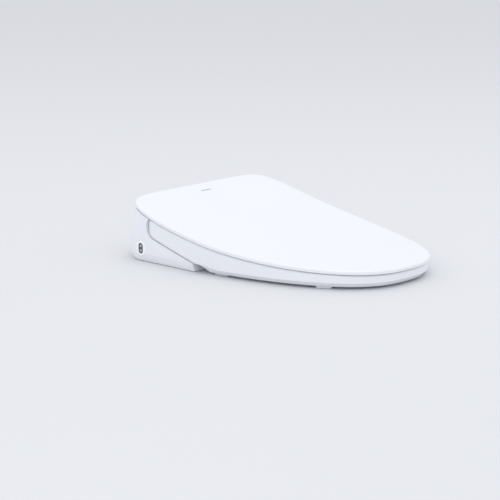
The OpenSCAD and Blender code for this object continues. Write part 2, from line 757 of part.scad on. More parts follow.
module wand_rack() color([0.85, 0.86, 0.87]) in_wand() {
    first = pinion_s + (0.5 - 8) * pi;
    translate([0, 0, rack_z[0]]) linear_extrude(rack_z[1] - rack_z[0]) {
        translate([wand_r + seat / 4, first - pi]) square([3 - rack_root - seat / 4 + eps, (rack_teeth + 1) * pi]);
        for (k = [0 : rack_teeth - 1]) translate([pitch_x, first + k * pi])
            polygon([[-rack_root, -pi / 4 + tooth_play - rack_root * tan(20)], [rack_tip, -pi / 4 + tooth_play
                + rack_tip * tan(20)], [rack_tip, pi / 4 - tooth_play - rack_tip * tan(20)],
                [-rack_root, pi / 4 - tooth_play + rack_root * tan(20)]]);
    }
}

base_r = pinion_r * cos(20);
function involute(r) = let (c = acos(base_r / r)) tan(c) * 180 / pi - c;

// One tooth of the pinion, as points round its middle angle a
function tooth(a) =
    let (half = 90 / pinion_teeth - tooth_play * 57.3 / pinion_r, at_pitch = involute(pinion_r),
        radii = [for (k = [0 : 4]) base_r + (pinion_r + 1 - base_r) * k / 4])
    concat([[pinion_r - 1.3, a - half - at_pitch]], [for (r = radii) [r, a - half - at_pitch + involute(r)]],
        [for (k = [4 : -1 : 0]) [radii[k], a + half + at_pitch - involute(radii[k])]],
        [[pinion_r - 1.3, a + half + at_pitch]]);

module wand_pinion() color([0.85, 0.8, 0.6]) in_wand() translate([pinion_x, pinion_s, 0]) {
    translate([0, 0, rack_z[0]]) linear_extrude(rack_z[1] - rack_z[0])
        polygon([for (k = [0 : pinion_teeth - 1]) for (p = tooth(180 + 360 * k / pinion_teeth))
            [p[0] * cos(p[1]), p[0] * sin(p[1])]]);
    rod_z(1.5, -3.2, rack_z[0] + eps, 0, 0);
}

rail_top = -wand_r - fit;
guide_side = 9;

module wand_guide() color([0.82, 0.83, 0.85]) {
    in_wand() difference() {
        union() {
            box([-guide_side, 4.5, rail_top - 2.7], [guide_side, 108, rail_top]);
            box([-guide_side, 4.5, rail_top - 2.7], [guide_side, 14, 6.6]);
            box([-guide_side, 10, rail_top - 2.7], [-wand_r - 1.2, 108, 2.5]);
            box([wand_r + 1.4, 14, rail_top - 2.7], [guide_side + 0.6, 46, -1.1]);
            box([guide_side, 14, -3.3], [38, 46, -1.1]);
        }
        rod_y(wand_r + fit, 0, 120, 0, 0);
        box([0, 0, -1.1], [20, 15, 4.1]);
        rod_z(1.8, -5, 2, pinion_x, pinion_s);
    }
    // legs to the lower case's floor
    for (s = [[22, 30], [84, 92]]) across(-guide_side, guide_side)
        polygon([[wand_pt(s[0], 0).x, deck], [wand_pt(s[1], 0).x, deck], wand_pt(s[1] - 1, rail_top - 2.6),
            wand_pt(s[0] - 1, rail_top - 2.6)]);
}

module wand_motor() color([0.6, 0.62, 0.64]) in_wand() {
    rod_z(13, -13, -3.3, pinion_x + 8.6, pinion_s);
}

// ---------- water ----------

tank_lo = [-95, -50, deck];
tank_hi = [-35, 0, deck + 22];
valve_lo = [-150, -50, deck];
valve_hi = [-105, -8, deck + 22];

module heater_tank() color([0.75, 0.72, 0.65]) {
    box(tank_lo, tank_hi);
    for (x = [-80, -65, -50]) box([x, tank_lo.y + 4, tank_hi.z - eps], [x + 3, tank_hi.y - 4, tank_hi.z + 1.5]);
}

module valve_block() color([0.35, 0.37, 0.4]) difference() {
    box(valve_lo, valve_hi);
    for (y = [-40, -30]) rod_x(3, valve_lo.x - 1, valve_lo.x + 5, y, deck + 11);
}

module solenoids() color([0.2, 0.35, 0.5]) for (x = [-138, -117]) rod_z(7.5, valve_hi.z, valve_hi.z + 11, x, -18);

inlet_stem_r = 7;
inlet_y = [back_face, back_face + 13.4];  // where the inlet's thread starts and ends

module water_inlet() color([0.78, 0.66, 0.4]) difference() {
    union() {
        rod_y(inlet_stem_r, valve_hi.y, inlet_y[0] + eps, -inlet_x, inlet_z);
        rod_y(inlet_r, inlet_y[0], inlet_y[1], -inlet_x, inlet_z);
    }
    rod_y(inlet_stem_r - 2, 20, inlet_y[1] + 1, -inlet_x, inlet_z);
}

module inlet_strainer() color(grey) difference() {
    union() {
        rod_y(8, 22, back_face + eps, -strainer_x, inlet_z);
        rod_y(9.5, back_face, back_face + 3.6, -strainer_x, inlet_z);
    }
    box([-strainer_x - 1, back_face + 2, inlet_z - 6], [-strainer_x + 1, back_face + 5, inlet_z + 6]);
}

module vacuum_breaker() color([0.85, 0.86, 0.88]) {
    rod_z(9, deck, deck + 30, -62, 16);
    rod_z(5, deck + 30 - eps, deck + 38, -62, 16);
}

module water_hoses() color([0.8, 0.82, 0.85]) {
    rod_x(3, valve_hi.x, tank_lo.x, -30, deck + 11);
    rod_y(3, 0, 6.95, -62, deck + 15);
}

// ---------- air ----------

drum_x = outlet_x + duct_w / 2;
drum_y = 12;
drum_h = 26;
skin = 1.6;

neck_w = duct_w - 10;  // width of the duct where it meets the blower
duct_h = 15;

module dryer_duct() color([0.82, 0.83, 0.85]) difference() {
    union() {
        box([outlet_x, -front_wall + case_wall + seat, deck], [outlet_x + duct_w, -17.5, deck + duct_h]);
        box([outlet_x, -17.6, deck], [outlet_x + neck_w, drum_y - 15, deck + duct_h]);
    }
    box([outlet_x + skin, -100, deck + skin], [outlet_x + duct_w - skin, -17.5 - skin, deck + duct_h - skin]);
    box([outlet_x + skin, -20, deck + skin], [outlet_x + neck_w - skin, drum_y, deck + duct_h - skin]);
    rod_z(drum_r + seat, 0, 100, drum_x, drum_y);
}

module dryer_heater() color([0.75, 0.55, 0.35]) {
    x0 = outlet_x + skin + seat;
    x1 = outlet_x + duct_w - skin - seat;
    z0 = deck + skin;
    z1 = deck + duct_h - skin - seat;
    difference() {
        box([x0, -52, z0], [x1, -34, z1]);
        box([x0 + 2, -53, z0 + 1.2], [x1 - 2, -33, z1 - 1.2]);
    }
    for (k = [1 : 8]) box([x0 + k * (x1 - x0) / 9 - 0.4, -50, z0 + 1], [x0 + k * (x1 - x0) / 9 + 0.4, -36, z1 - 1]);
}

module blower_housing() color([0.5, 0.52, 0.55]) difference() {
    rod_z(drum_r, deck, deck + drum_h, drum_x, drum_y);
    rod_z(drum_r - skin, deck + skin, deck + drum_h - skin, drum_x, drum_y);
    rod_z(3, deck + 5, deck + drum_h + 1, drum_x, drum_y);
    box([outlet_x + skin, -30, deck + skin], [outlet_x + neck_w - skin, drum_y - 16, deck + duct_h - skin]);
    for (a = [0 : 45 : 315]) rod_z(2.6, deck + 20, deck + drum_h + 1, drum_x + 18 * cos(a), drum_y + 18 * sin(a));
}

rotor_r = 19;
blades = 24;

module blower_rotor() color([0.3, 0.31, 0.33]) {
    z0 = deck + skin + 1;
    rod_z(rotor_r, z0, z0 + 1.5, drum_x, drum_y);
    rod_z(4, z0, z0 + 17, drum_x, drum_y);
    for (k = [0 : blades - 1]) translate([drum_x, drum_y, z0]) rotate([0, 0, k * 360 / blades])
        translate([rotor_r - 5, 0, 1]) rotate([0, 0, 25]) cube([4, 0.9, 16]);
    rod_z(1.5, z0 + 16, deck + drum_h - seat, drum_x, drum_y);
}

module blower_motor() color([0.65, 0.67, 0.7]) {
    rod_z(12, deck + drum_h, deck + drum_h + 13, drum_x, drum_y);
    rod_z(5, deck + drum_h + 13 - eps, deck + drum_h + 15, drum_x, drum_y);
}

module dryer_flap() color(white) {
    x0 = outlet_x + 0.8;
    x1 = outlet_x + duct_w - 0.8;
    y = -front_wall - 1.2;
    box([x0, y - 0.7, outlet_z[0] - 1], [x1, y + 0.7, flap_pin_z]);
    rod_x(0.7, outlet_x - 1.4, outlet_x + duct_w + 1.4, y, flap_pin_z);
}

deo_x = [150, 182.8];
deo_y = [-66, -30];
deo_h = 17.5;
fan_x = 154.5;

module deodorizer_case() color([0.82, 0.83, 0.85]) difference() {
    box([deo_x[0], deo_y[0], deck], [deo_x[1], deo_y[1], deck + deo_h]);
    box([deo_x[0] + skin, deo_y[0] + skin, filter_z[0] - fit], [deo_x[1] + 1, deo_y[1] - skin, filter_z[1] + fit]);
    rod_x(5, deo_x[0] - 1, deo_x[0] + 3, (deo_y[0] + deo_y[1]) / 2, deck + deo_h / 2);
}

module deodorizer_rotor() color(dark) {
    y = (deo_y[0] + deo_y[1]) / 2;
    z = (filter_z[0] + filter_z[1]) / 2;
    rod_x(2, fan_x - 0.9, fan_x + 4, y, z);
    for (k = [0 : 6]) translate([fan_x + 1.5, y, z]) rotate([k * 360 / 7, 0, 0]) rotate([0, 0, 35])
        translate([-1.5, 1.5, -0.5]) cube([3, 4.5, 1]);
}

module filter_cartridge() color([0.9, 0.91, 0.93]) difference() {
    box([160, filter_y[0], filter_z[0]], [case_half_w - 0.6, filter_y[1], filter_z[1]]);
    box([159, filter_y[0] + 2, filter_z[0] + 2], [182, filter_y[1] - 2, filter_z[1] - 2]);
    rod_z(4, filter_z[0] - 1, filter_z[1] + 1, case_half_w + 1.8, (filter_y[0] + filter_y[1]) / 2);
}

module filter_core() color([0.15, 0.15, 0.16]) difference() {
    box([162, filter_y[0] + 2 + seat, filter_z[0] + 2 + seat], [181.8, filter_y[1] - 2 - seat, filter_z[1] - 2 - seat]);
    for (y = [0 : 3]) for (z = [0, 1])
        rod_x(1.7, 160, 183, filter_y[0] + 7 + y * 5.4, filter_z[0] + 4.3 + z * 4.8);
}

// ---------- electrics ----------

board_x = [98, 147];
board_y = [-74, -22];

module main_board() color([0.1, 0.4, 0.25])
    box([board_x[0], board_y[0], deck + 2], [board_x[1], board_y[1], deck + 3.6]);

module board_parts() color(dark) {
    z = deck + 3.6;
    box([104, -60, z], [118, -46, z + 2]);
    for (k = [0 : 2]) rod_z(4, z, z + 11, 126 + k * 8.5, -34);
    box([124, -64, z], [142, -50, z + 8]);
    box([102, -36, z], [112, -28, z + 7]);
}

module power_supply() color([0.25, 0.26, 0.28]) {
    box([104, -6, deck], [146, 26, deck + 30]);
    for (k = [0 : 5]) box([107 + k * 6, -4, deck + 30 - eps], [109 + k * 6, 24, deck + 34]);
}

module cord_gland() color(dark) difference() {
    union() {
        rod_y(8, back_face - 17, back_face + eps, gland_x, inlet_z);
        rod_y(10.5, back_face, back_face + 3, gland_x, inlet_z);
    }
    rod_y(gland_r, 25, 60, gland_x, inlet_z);
}

// ---------- side button and release ----------

module on_side() {
    translate([-case_half_w, -button_y, button_z]) rotate([0, -90, 0]) children();
}

module button_bezel() color(white) on_side() difference() {
    union() {
        translate([0, 0, -7]) linear_extrude(7.2) stadium(bezel_h, bezel_w);
        translate([0, 0, 0.2 - eps]) linear_extrude(0.5) stadium(bezel_h - 1, bezel_w - 1);
    }
    translate([0, 0, -8]) linear_extrude(12) stadium(button_h + seat, button_w + seat);
}

module side_button() color(dark) on_side() difference() {
    translate([0, 0, -6]) linear_extrude(6.3) stadium(button_h, button_w);
    for (s = [-1, 1]) translate([s * 4.2, 0, -0.7]) cylinder(r = 2.1, h = 3);
}

module led_lenses() color([0.8, 0.85, 0.88]) on_side()
    for (s = [-1, 1]) translate([s * 4.2, 0, -0.7]) cylinder(r = 2, h = 1);

module button_switch() color([0.4, 0.4, 0.42]) on_side() {
    translate([0, 0, -12.4]) linear_extrude(3.6) square([7, 7], center = true);
    translate([0, 0, -9]) cylinder(r = 1.7, h = 1);
}

module side_board() color([0.1, 0.4, 0.25]) on_side()
    box([deck - button_z, -12, -14], [14, 12, -12.4]);

rod_h = [deck + 0.3, deck + 6.3];

module release_button() color(white) {
    translate([case_half_w - 12, release_y, release_z]) rotate([0, 90, 0]) linear_extrude(12.5) stadium(9, 8.98);
    box([90, release_y - 3, rod_h[0]], [case_half_w - 11, release_y + 3, rod_h[1]]);
    box([90, release_y - 3.6, 3.6], [95, release_y + 3.6, rod_h[0] + eps]);
}

module release_spring() color([0.75, 0.76, 0.78]) difference() {
    box([case_half_w - 20, release_y - 3, rod_h[1] + seat], [case_half_w - 12.4, release_y + 3, rod_h[1] + 3]);
    box([case_half_w - 19, release_y - 4, rod_h[1] + 1], [case_half_w - 13.4, release_y + 4, rod_h[1] + 2.2]);
}

base_plate();
plate_adjusters();
plate_pads();
plate_catch();
lower_case();
upper_cover();
cover_sides();
cover_back();
front_panel();
rubber_feet();
case_screws();
hinge_brackets();
hinge_pins();
lid_damper();
ring_damper();
wand_guide();
wand_motor();
heater_tank();
valve_block();
solenoids();
water_inlet();
inlet_strainer();
vacuum_breaker();
water_hoses();
dryer_duct();
dryer_heater();
blower_housing();
blower_motor();
deodorizer_case();
main_board();
board_parts();
power_supply();
cord_gland();
button_bezel();
side_board();
button_switch();
wand_tube();
wand_rack();
nozzle_tip();
wand_pinion();
side_button();
led_lenses();
release_button();
release_spring();
dryer_flap();
filter_cartridge();
filter_core();
blower_rotor();
deodorizer_rotor();
seat_top();
seat_base();
seat_heater();
seat_bumpers();
ring_arms();
lid_cover();
lid_lugs();
lid_bumpers();
lid_badge();
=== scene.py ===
import json
import math

import bmesh
import bpy
from bpy.props import FloatProperty, FloatVectorProperty, IntProperty, PointerProperty
from mathutils import Matrix, Vector


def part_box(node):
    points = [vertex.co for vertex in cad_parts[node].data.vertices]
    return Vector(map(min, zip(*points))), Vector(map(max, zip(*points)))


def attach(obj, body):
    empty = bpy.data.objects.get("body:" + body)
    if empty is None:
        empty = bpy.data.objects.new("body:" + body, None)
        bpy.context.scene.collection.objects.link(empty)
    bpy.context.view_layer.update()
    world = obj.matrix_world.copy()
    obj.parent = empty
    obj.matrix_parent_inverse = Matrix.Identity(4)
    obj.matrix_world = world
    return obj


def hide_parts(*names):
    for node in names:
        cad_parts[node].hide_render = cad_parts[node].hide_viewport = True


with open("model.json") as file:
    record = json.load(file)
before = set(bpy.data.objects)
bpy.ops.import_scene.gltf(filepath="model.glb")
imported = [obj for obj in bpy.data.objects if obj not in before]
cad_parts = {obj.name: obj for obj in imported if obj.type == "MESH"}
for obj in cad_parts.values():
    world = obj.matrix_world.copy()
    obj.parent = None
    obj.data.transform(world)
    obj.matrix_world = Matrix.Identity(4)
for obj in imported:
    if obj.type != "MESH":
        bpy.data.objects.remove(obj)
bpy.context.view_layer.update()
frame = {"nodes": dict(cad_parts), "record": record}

bl_info = {
    "name": "Electric Bidet Seat",
    "version": (1, 0, 0),
    "blender": (4, 5, 0),
    "location": "View3D > Sidebar > Bidet Seat",
    "description": "Builds the looks of an electric bidet seat round its packed frame",
    "category": "Add Mesh",
}

MM = 0.001

# ---------- sizes of the moulded shells, in millimetres ----------

LID_HALF_W, LID_FRONT, LID_BACK, WIDEST = 190.0, 467.0, 44.4, 137.0
TIP_Z, BACK_Z, EDGE_SAG, EDGE_LEAN = 26.5, 101.8, 21.5, 16.2
LID_EDGE_H, LID_CROWN, LID_WALL = 7.4, 4.0, 3.0
LID_GAP, RING_INSET, RING_LIFT, RING_WALL = 1.3, 3.5, 4.5, 3.0
BEVEL_H, BEVEL_W, DISH = 7.0, 6.5, 7.0
HOLE_HALF_W, RIM_FRONT_W, HOLE_BACK, HOLE_TURN = 107.0, 74.0, 118.0, 26.0
WING_FRONT, WING_TIP_H, WING_SLOPE = 132.0, 17.3, 0.283
RING_BACK, RING_BACK_R, RING_CORNER_R = -18.1, 20.5, 5.0
FLAT_END, BEVEL_END = WING_FRONT + 35, WING_FRONT + 58
AXIS_Y = 31.0
LID_LINE = (LID_HALF_W, -LID_FRONT, LID_BACK, -WIDEST, 1.74, 2.61, 4.65, 9.0)
RING_LINE = (LID_HALF_W - RING_INSET, -LID_FRONT + RING_INSET, RING_BACK, -WIDEST, 1.74, 2.61, 11.0, 11.0)
HOLE_MID = HOLE_BACK + (LID_FRONT - RIM_FRONT_W - HOLE_BACK) * 0.44
HOLE_LINE = (HOLE_HALF_W, -LID_FRONT + RIM_FRONT_W, -HOLE_BACK, -HOLE_MID, 2.15, 2.15, 2.4, 2.4)
ARM_X, ARM_W = 103.0, 18.0
EYE_R = 6.5
CASE_HALF_W = 188.0
BUTTON_AT = (-CASE_HALF_W, -3.5, 24.0)
INLET_AT = (-127.0, 47.1, 22.0)
STRAINER_AT = (-96.0, 47.1, 22.0)
GLAND_AT = (125.0, 47.1, 22.0)
FEET_AT = ((160, -62), (135, 12))
MARK_SLOPE = 8.2

# ---------- finish, stage and camera ----------

MIX_LOW, MIX_HIGH, MIX_COLOUR = 6, 7, 2    # a colour Mix node's two inputs and its output, by place
WELD, FLAT_ANGLE = 2e-6, 0.4               # metres and degrees that count as one corner and one flat
LIGHTS = (
    ("overhead", (0.2, -0.3, 2.6), 1.6, 10.0),
    ("front_left", (-2.6, -1.6, 1.3), 1.4, 8.0),
    ("right_fill", (2.6, -0.8, 1.4), 1.8, 2.0),
    ("back_rim", (-0.4, 2.6, 1.6), 1.6, 2.5),
)
LIGHTS_AIM = (0, -0.2, 0.05)
BACKDROP, BACKDROP_STRENGTH = (0.96, 0.97, 1.0, 1), 0.92
CAMERA_LENS, CAMERA_SENSOR = 158.4, 36.0
CAMERA_AROUND, CAMERA_UP, CAMERA_REACH = -47.02, 12.54, 3.78867
CAMERA_AIM = (-0.15185, -0.2359, 0.05)


def seam_z(y):
    """Height of the lid's lower edge at a distance y."""
    s = (y + LID_FRONT) / (LID_FRONT + LID_BACK)
    return TIP_Z + (BACK_Z - TIP_Z) * s - s * (1 - s) * (4 * EDGE_SAG + EDGE_LEAN * (2 * s - 1))


AXIS_Z = seam_z(AXIS_Y) - 4.5


def under_z(y):
    """Height of the ring's underside."""
    if y > -WING_FRONT:
        return WING_TIP_H + WING_SLOPE * (y + WING_FRONT)
    if y > -FLAT_END:
        return RING_LIFT + (WING_TIP_H - RING_LIFT) * (y + FLAT_END) / (FLAT_END - WING_FRONT)
    return RING_LIFT


def bevel_z(y):
    """Height of the ring's side wall over its bevel."""
    if y > -WING_FRONT:
        return under_z(y)
    if y > -BEVEL_END:
        rise = (WING_TIP_H - RING_LIFT - BEVEL_H) / (BEVEL_END - WING_FRONT)
        return RING_LIFT + BEVEL_H + rise * (y + BEVEL_END)
    return RING_LIFT + BEVEL_H


def inset(line, d):
    return (line[0] - d, line[1] + d, line[2] - d) + tuple(line[3:])


def outline_pt(line, t):
    """Point of an outline at t degrees: 0 is the front tip, 180 the back."""
    s, c = math.sin(math.radians(t)), math.cos(math.radians(t))
    side, s = (-1 if s < 0 else 1), abs(s)
    if c >= 0:
        return side * line[0] * s ** (2 / line[5]), line[3] - (line[3] - line[1]) * c ** (2 / line[4])
    return side * line[0] * s ** (2 / line[7]), line[3] + (line[2] - line[3]) * (-c) ** (2 / line[6])


def half_w_at(line, y):
    """Half width of an outline at a distance y."""
    if y < line[3]:
        return line[0] * (1 - ((line[3] - y) / (line[3] - line[1])) ** line[4]) ** (1 / line[5])
    return line[0] * (1 - ((y - line[3]) / (line[2] - line[3])) ** line[6]) ** (1 / line[7])


def ring_pt(t, d):
    """Point of the ring's outline, d inside it: the lid's outline with a straight back edge."""
    back = RING_BACK - d
    side = -1 if t > 180 else 1
    f = ((360 - t if t > 180 else t) - 90) / 90
    r = max(RING_CORNER_R - d, 0.8)
    cy = back - r
    cx = half_w_at(LID_LINE, cy) - RING_INSET - d - r
    if f <= 0:
        return outline_pt(inset(RING_LINE, d), t)
    if f < 0.45:
        y = -WIDEST + (cy + WIDEST) * f / 0.45
        return side * (half_w_at(LID_LINE, y) - RING_INSET - d), y
    if f < 0.6:
        a = math.radians((f - 0.45) / 0.15 * 90)
        return side * (cx + r * math.cos(a)), cy + r * math.sin(a)
    return side * cx * (1 - f) / 0.4, back


def hole_pt(t, d):
    return outline_pt(inset(HOLE_LINE, -d), t + HOLE_TURN * math.sin(math.radians(t)))


def even_angles(curves, count):
    """Angles that space points evenly along the sum of some closed curves, the same on both sides."""
    steps = 3600
    ts = [180 * i / steps for i in range(steps + 1)]
    far = [0.0]
    lines = [[c(t) for t in ts] for c in curves]
    for i in range(steps):
        far.append(far[-1] + sum(math.dist(line[i], line[i + 1]) for line in lines))
    half, out, k = count // 2, [], 0
    for i in range(half + 1):
        goal = far[-1] * i / half
        while k < steps and far[k + 1] < goal:
            k += 1
        part = (goal - far[k]) / max(far[min(k + 1, steps)] - far[k], 1e-9) if k < steps else 0
        out.append(ts[k] + 180 / steps * min(part, 1))
    return out + [360 - t for t in reversed(out[1:-1])]


def curve_through(points, x):
    """Height at x on a smooth curve through points that never swings past them."""
    n = len(points)
    slopes = [(points[i + 1][1] - points[i][1]) / (points[i + 1][0] - points[i][0]) for i in range(n - 1)]
    ends = [slopes[0]]
    for i in range(1, n - 1):
        a, b = slopes[i - 1], slopes[i]
        ends.append(0.0 if a * b <= 0 else 2 * a * b / (a + b))
    ends.append(slopes[-1])
    i = max(0, min(n - 2, sum(1 for p in points[1:-1] if p[0] <= x)))
    (x0, y0), (x1, y1) = points[i], points[i + 1]
    w = x1 - x0
    u = (x - x0) / w
    return (y0 * (1 + 2 * u) * (1 - u) ** 2 + ends[i] * w * u * (1 - u) ** 2
            + y1 * u * u * (3 - 2 * u) + ends[i + 1] * w * u * u * (u - 1))


# ---------- settings that a user would change ----------

class BidetSizes(bpy.types.PropertyGroup):
    """Sizes of the visible detail."""
    points_round: IntProperty(name="Points round the shells", description="Points along the lid's outline",
                              default=360, min=80, max=720)
    edge_round: FloatProperty(name="Edge rounding", description="Radius on the edges of small moulded parts",
                              default=0.0004, min=0.0, max=0.002, unit="LENGTH")
    thread_pitch: FloatProperty(name="Thread pitch", description="Distance between the water inlet's threads",
                                default=0.001814, min=0.001, max=0.003, unit="LENGTH")
    thread_depth: FloatProperty(name="Thread depth", description="Depth of the water inlet's threads",
                                default=0.00116, min=0.0005, max=0.002, unit="LENGTH")
    grip_ribs: IntProperty(name="Grip ribs", description="Ribs round the strainer's and the gland's caps",
                           default=26, min=8, max=60)
    pan_screws: IntProperty(name="Ring screws", description="Screws on each side of the ring's underside",
                            default=5, min=2, max=9)
    floor_size: FloatProperty(name="Floor", description="Width of the studio's floor",
                              default=40.0, min=2.0, max=100.0, unit="LENGTH")


class BidetColours(bpy.types.PropertyGroup):
    """Colours of the finishes."""
    shell: FloatVectorProperty(name="Shells", description="Glossy plastic of lid, ring and housing",
                               subtype="COLOR", size=3, default=(0.87, 0.885, 0.93), min=0, max=1)
    button: FloatVectorProperty(name="Button", description="Rubbery face of the side button",
                                subtype="COLOR", size=3, default=(0.11, 0.115, 0.125), min=0, max=1)
    lens: FloatVectorProperty(name="Lenses", description="Lenses of the two indicator lamps",
                              subtype="COLOR", size=3, default=(0.62, 0.66, 0.7), min=0, max=1)
    mark: FloatVectorProperty(name="Mark", description="Plain mark on the lid",
                              subtype="COLOR", size=3, default=(0.64, 0.65, 0.68), min=0, max=1)
    floor: FloatVectorProperty(name="Floor", description="The studio's floor",
                               subtype="COLOR", size=3, default=(0.76, 0.77, 0.79), min=0, max=1)


# ---------- finishes ----------

class Wire:
    """A shader value in a sum: each sign adds its Math node."""

    def __init__(self, finish, socket):
        self.finish, self.socket = finish, socket

    def _sum(self, operation, first, second):
        n = self.finish.node("ShaderNodeMath", {"operation": operation}, {0: first, 1: second})
        return Wire(self.finish, n.outputs[0])

    def __add__(self, other):
        return self._sum("ADD", self, other)

    def __radd__(self, other):
        return self._sum("ADD", other, self)

    def __sub__(self, other):
        return self._sum("SUBTRACT", self, other)

    def __rsub__(self, other):
        return self._sum("SUBTRACT", other, self)

    def __mul__(self, other):
        return self._sum("MULTIPLY", self, other)

    def __rmul__(self, other):
        return self._sum("MULTIPLY", other, self)

    def __pow__(self, other):
        return self._sum("POWER", self, other)


class Finish:
    """A material and the nodes that make it."""

    def __init__(self, name):
        self.material = bpy.data.materials.new(name)
        self.material.use_nodes = True
        self.tree = self.material.node_tree
        self.tree.nodes.clear()
        self.here = Wire(self, self.node("ShaderNodeTexCoord").outputs["Object"])

    def node(self, kind, settings=None, sockets=None):
        n = self.tree.nodes.new(kind)
        for key, value in (settings or {}).items():
            if key == "stops":
                ends = n.color_ramp.elements
                ends[0].position, ends[0].color = value[0]
                ends[1].position, ends[1].color = value[-1]
                for place, colour in value[1:-1]:
                    ends.new(place).color = colour
            else:
                setattr(n, key, value)
        for key, value in (sockets or {}).items():
            if isinstance(value, Wire):
                self.tree.links.new(value.socket, n.inputs[key])
            else:
                n.inputs[key].default_value = value
        return n

    def out(self, kind, output, settings=None, sockets=None):
        return Wire(self, self.node(kind, settings, sockets).outputs[output])

    def noise(self, scale, detail=2.0, stretch=None, rough=0.5):
        where = self.here
        if stretch:
            where = self.out("ShaderNodeMapping", "Vector", None, {"Vector": where, "Scale": stretch})
        return self.out("ShaderNodeTexNoise", "Fac", None,
                        {"Vector": where, "Scale": scale, "Detail": detail, "Roughness": rough})

    def between(self, low, high, share):
        """Colour between two colours, by a share."""
        n = self.node("ShaderNodeMix", {"data_type": "RGBA"},
                      {"Factor": share, MIX_LOW: rgba(low), MIX_HIGH: rgba(high)})
        return Wire(self, n.outputs[MIX_COLOUR])

    def bump(self, height, strength, depth):
        return self.out("ShaderNodeBump", "Normal", None,
                        {"Height": height, "Strength": strength, "Distance": depth})

    def end(self, shader):
        self.tree.links.new(shader.outputs[0], self.node("ShaderNodeOutputMaterial").inputs["Surface"])
        return self.material

    def surface(self, **sockets):
        words = {key.replace("_", " "): value for key, value in sockets.items()}
        return self.end(self.node("ShaderNodeBsdfPrincipled", None, words))


def rgba(colour):
    return colour if isinstance(colour, Wire) else tuple(colour[:3]) + (1.0,)


def shade(colour, k):
    return tuple(min(1.0, c * k) for c in colour[:3])


def glossy_plastic(name, colour, rough=0.2, coat=0.35):
    """Polished moulded plastic: faint flow marks, fine wipe haze and a hint of orange peel."""
    f = Finish(name)
    flow = f.noise(9.0, 3.0, (1.0, 0.5, 1.6))
    haze = f.noise(70.0, 4.0, (1.0, 2.2, 1.0))
    peel = f.noise(420.0, 2.0)
    return f.surface(Base_Color=f.between(shade(colour, 0.985), shade(colour, 1.012), flow),
                     Roughness=rough - 0.035 + haze * 0.07, Coat_Weight=coat, Coat_Roughness=0.06,
                     Normal=f.bump(peel, 0.05, 0.0002))


def matt_plastic(name, colour, rough=0.45, grain=1900.0, depth=0.00012):
    """Moulded plastic with a spark-eroded grain."""
    f = Finish(name)
    cloud = f.noise(30.0, 3.0)
    pits = f.noise(grain, 3.0, None, 0.65)
    return f.surface(Base_Color=f.between(shade(colour, 0.95), shade(colour, 1.04), cloud),
                     Roughness=rough - 0.08 + pits * 0.16, Normal=f.bump(pits, 0.35, depth))


def rubbery(name, colour):
    """Soft rubber with a dusty bloom."""
    f = Finish(name)
    bloom = f.noise(55.0, 5.0)
    grain = f.noise(2600.0, 2.0)
    dusty = tuple(0.75 * c + 0.05 for c in colour[:3])
    return f.surface(Base_Color=f.between(colour, dusty, bloom ** 2.0), Roughness=0.62 + bloom * 0.2,
                     Normal=f.bump(grain, 0.3, 0.0001))


def brushed_metal(name, colour, rough=0.28, stretch=(30.0, 1.0, 1.0), scale=160.0):
    """Metal with fine lines along one direction."""
    f = Finish(name)
    lines = f.noise(scale, 4.0, stretch)
    stain = f.noise(40.0, 3.0)
    return f.surface(Base_Color=f.between(shade(colour, 0.88), shade(colour, 1.06), stain), Metallic=1.0,
                     Roughness=rough + lines * 0.14, Normal=f.bump(lines, 0.12, 0.0001))


def printed_foil(name, colour):
    """Heating foil: a metal film with its resistance track showing as bands."""
    f = Finish(name)
    track = f.out("ShaderNodeTexWave", "Fac", {"wave_type": "BANDS", "bands_direction": "X"},
                  {"Vector": f.here, "Scale": 28.0, "Distortion": 5.0, "Detail": 1.0, "Detail Scale": 0.6})
    edge = f.out("ShaderNodeValToRGB", "Color",
                 {"stops": [(0.42, (0, 0, 0, 1)), (0.5, (1, 1, 1, 1))]}, {"Fac": track})
    return f.surface(Base_Color=f.between(shade(colour, 0.55), shade(colour, 1.1), edge), Metallic=0.85,
                     Roughness=0.3 + f.noise(200.0) * 0.15, Normal=f.bump(edge, 0.3, 0.0002))


def circuit_board(name, colour):
    """Green board with lighter tracks and dark solder resist."""
    f = Finish(name)
    cells = f.out("ShaderNodeTexBrick", "Fac", {"offset": 0.37},
                  {"Vector": f.here, "Scale": 95.0, "Mortar Size": 0.035, "Brick Width": 0.8,
                   "Row Height": 0.31})
    pads = f.out("ShaderNodeTexVoronoi", "Distance", None, {"Vector": f.here, "Scale": 260.0})
    dots = f.out("ShaderNodeValToRGB", "Color",
                 {"stops": [(0.16, (1, 1, 1, 1)), (0.22, (0, 0, 0, 1))]}, {"Fac": pads})
    green = f.between(colour, shade(colour, 1.7), cells)
    both = f.between(green, (0.72, 0.66, 0.45), dots)
    return f.surface(Base_Color=both, Roughness=0.38, Normal=f.bump(cells, 0.25, 0.0001))


def wound_coil(name, colour):
    """Coil body with the ridges of its winding showing through the film."""
    f = Finish(name)
    turns = f.out("ShaderNodeTexWave", "Fac", {"wave_type": "BANDS", "bands_direction": "Z"},
                  {"Vector": f.here, "Scale": 320.0, "Distortion": 0.4})
    return f.surface(Base_Color=f.between(shade(colour, 0.75), shade(colour, 1.2), turns),
                     Roughness=0.25 + turns * 0.15, Normal=f.bump(turns, 0.4, 0.0002))


def charcoal_block(name, colour):
    """Pressed carbon granules."""
    f = Finish(name)
    grains = f.out("ShaderNodeTexVoronoi", "Distance", None, {"Vector": f.here, "Scale": 900.0})
    dust = f.noise(120.0, 5.0)
    return f.surface(Base_Color=f.between(shade(colour, 0.5), shade(colour, 1.7), dust),
                     Roughness=0.85 + dust * 0.1, Normal=f.bump(grains, 0.9, 0.0005))


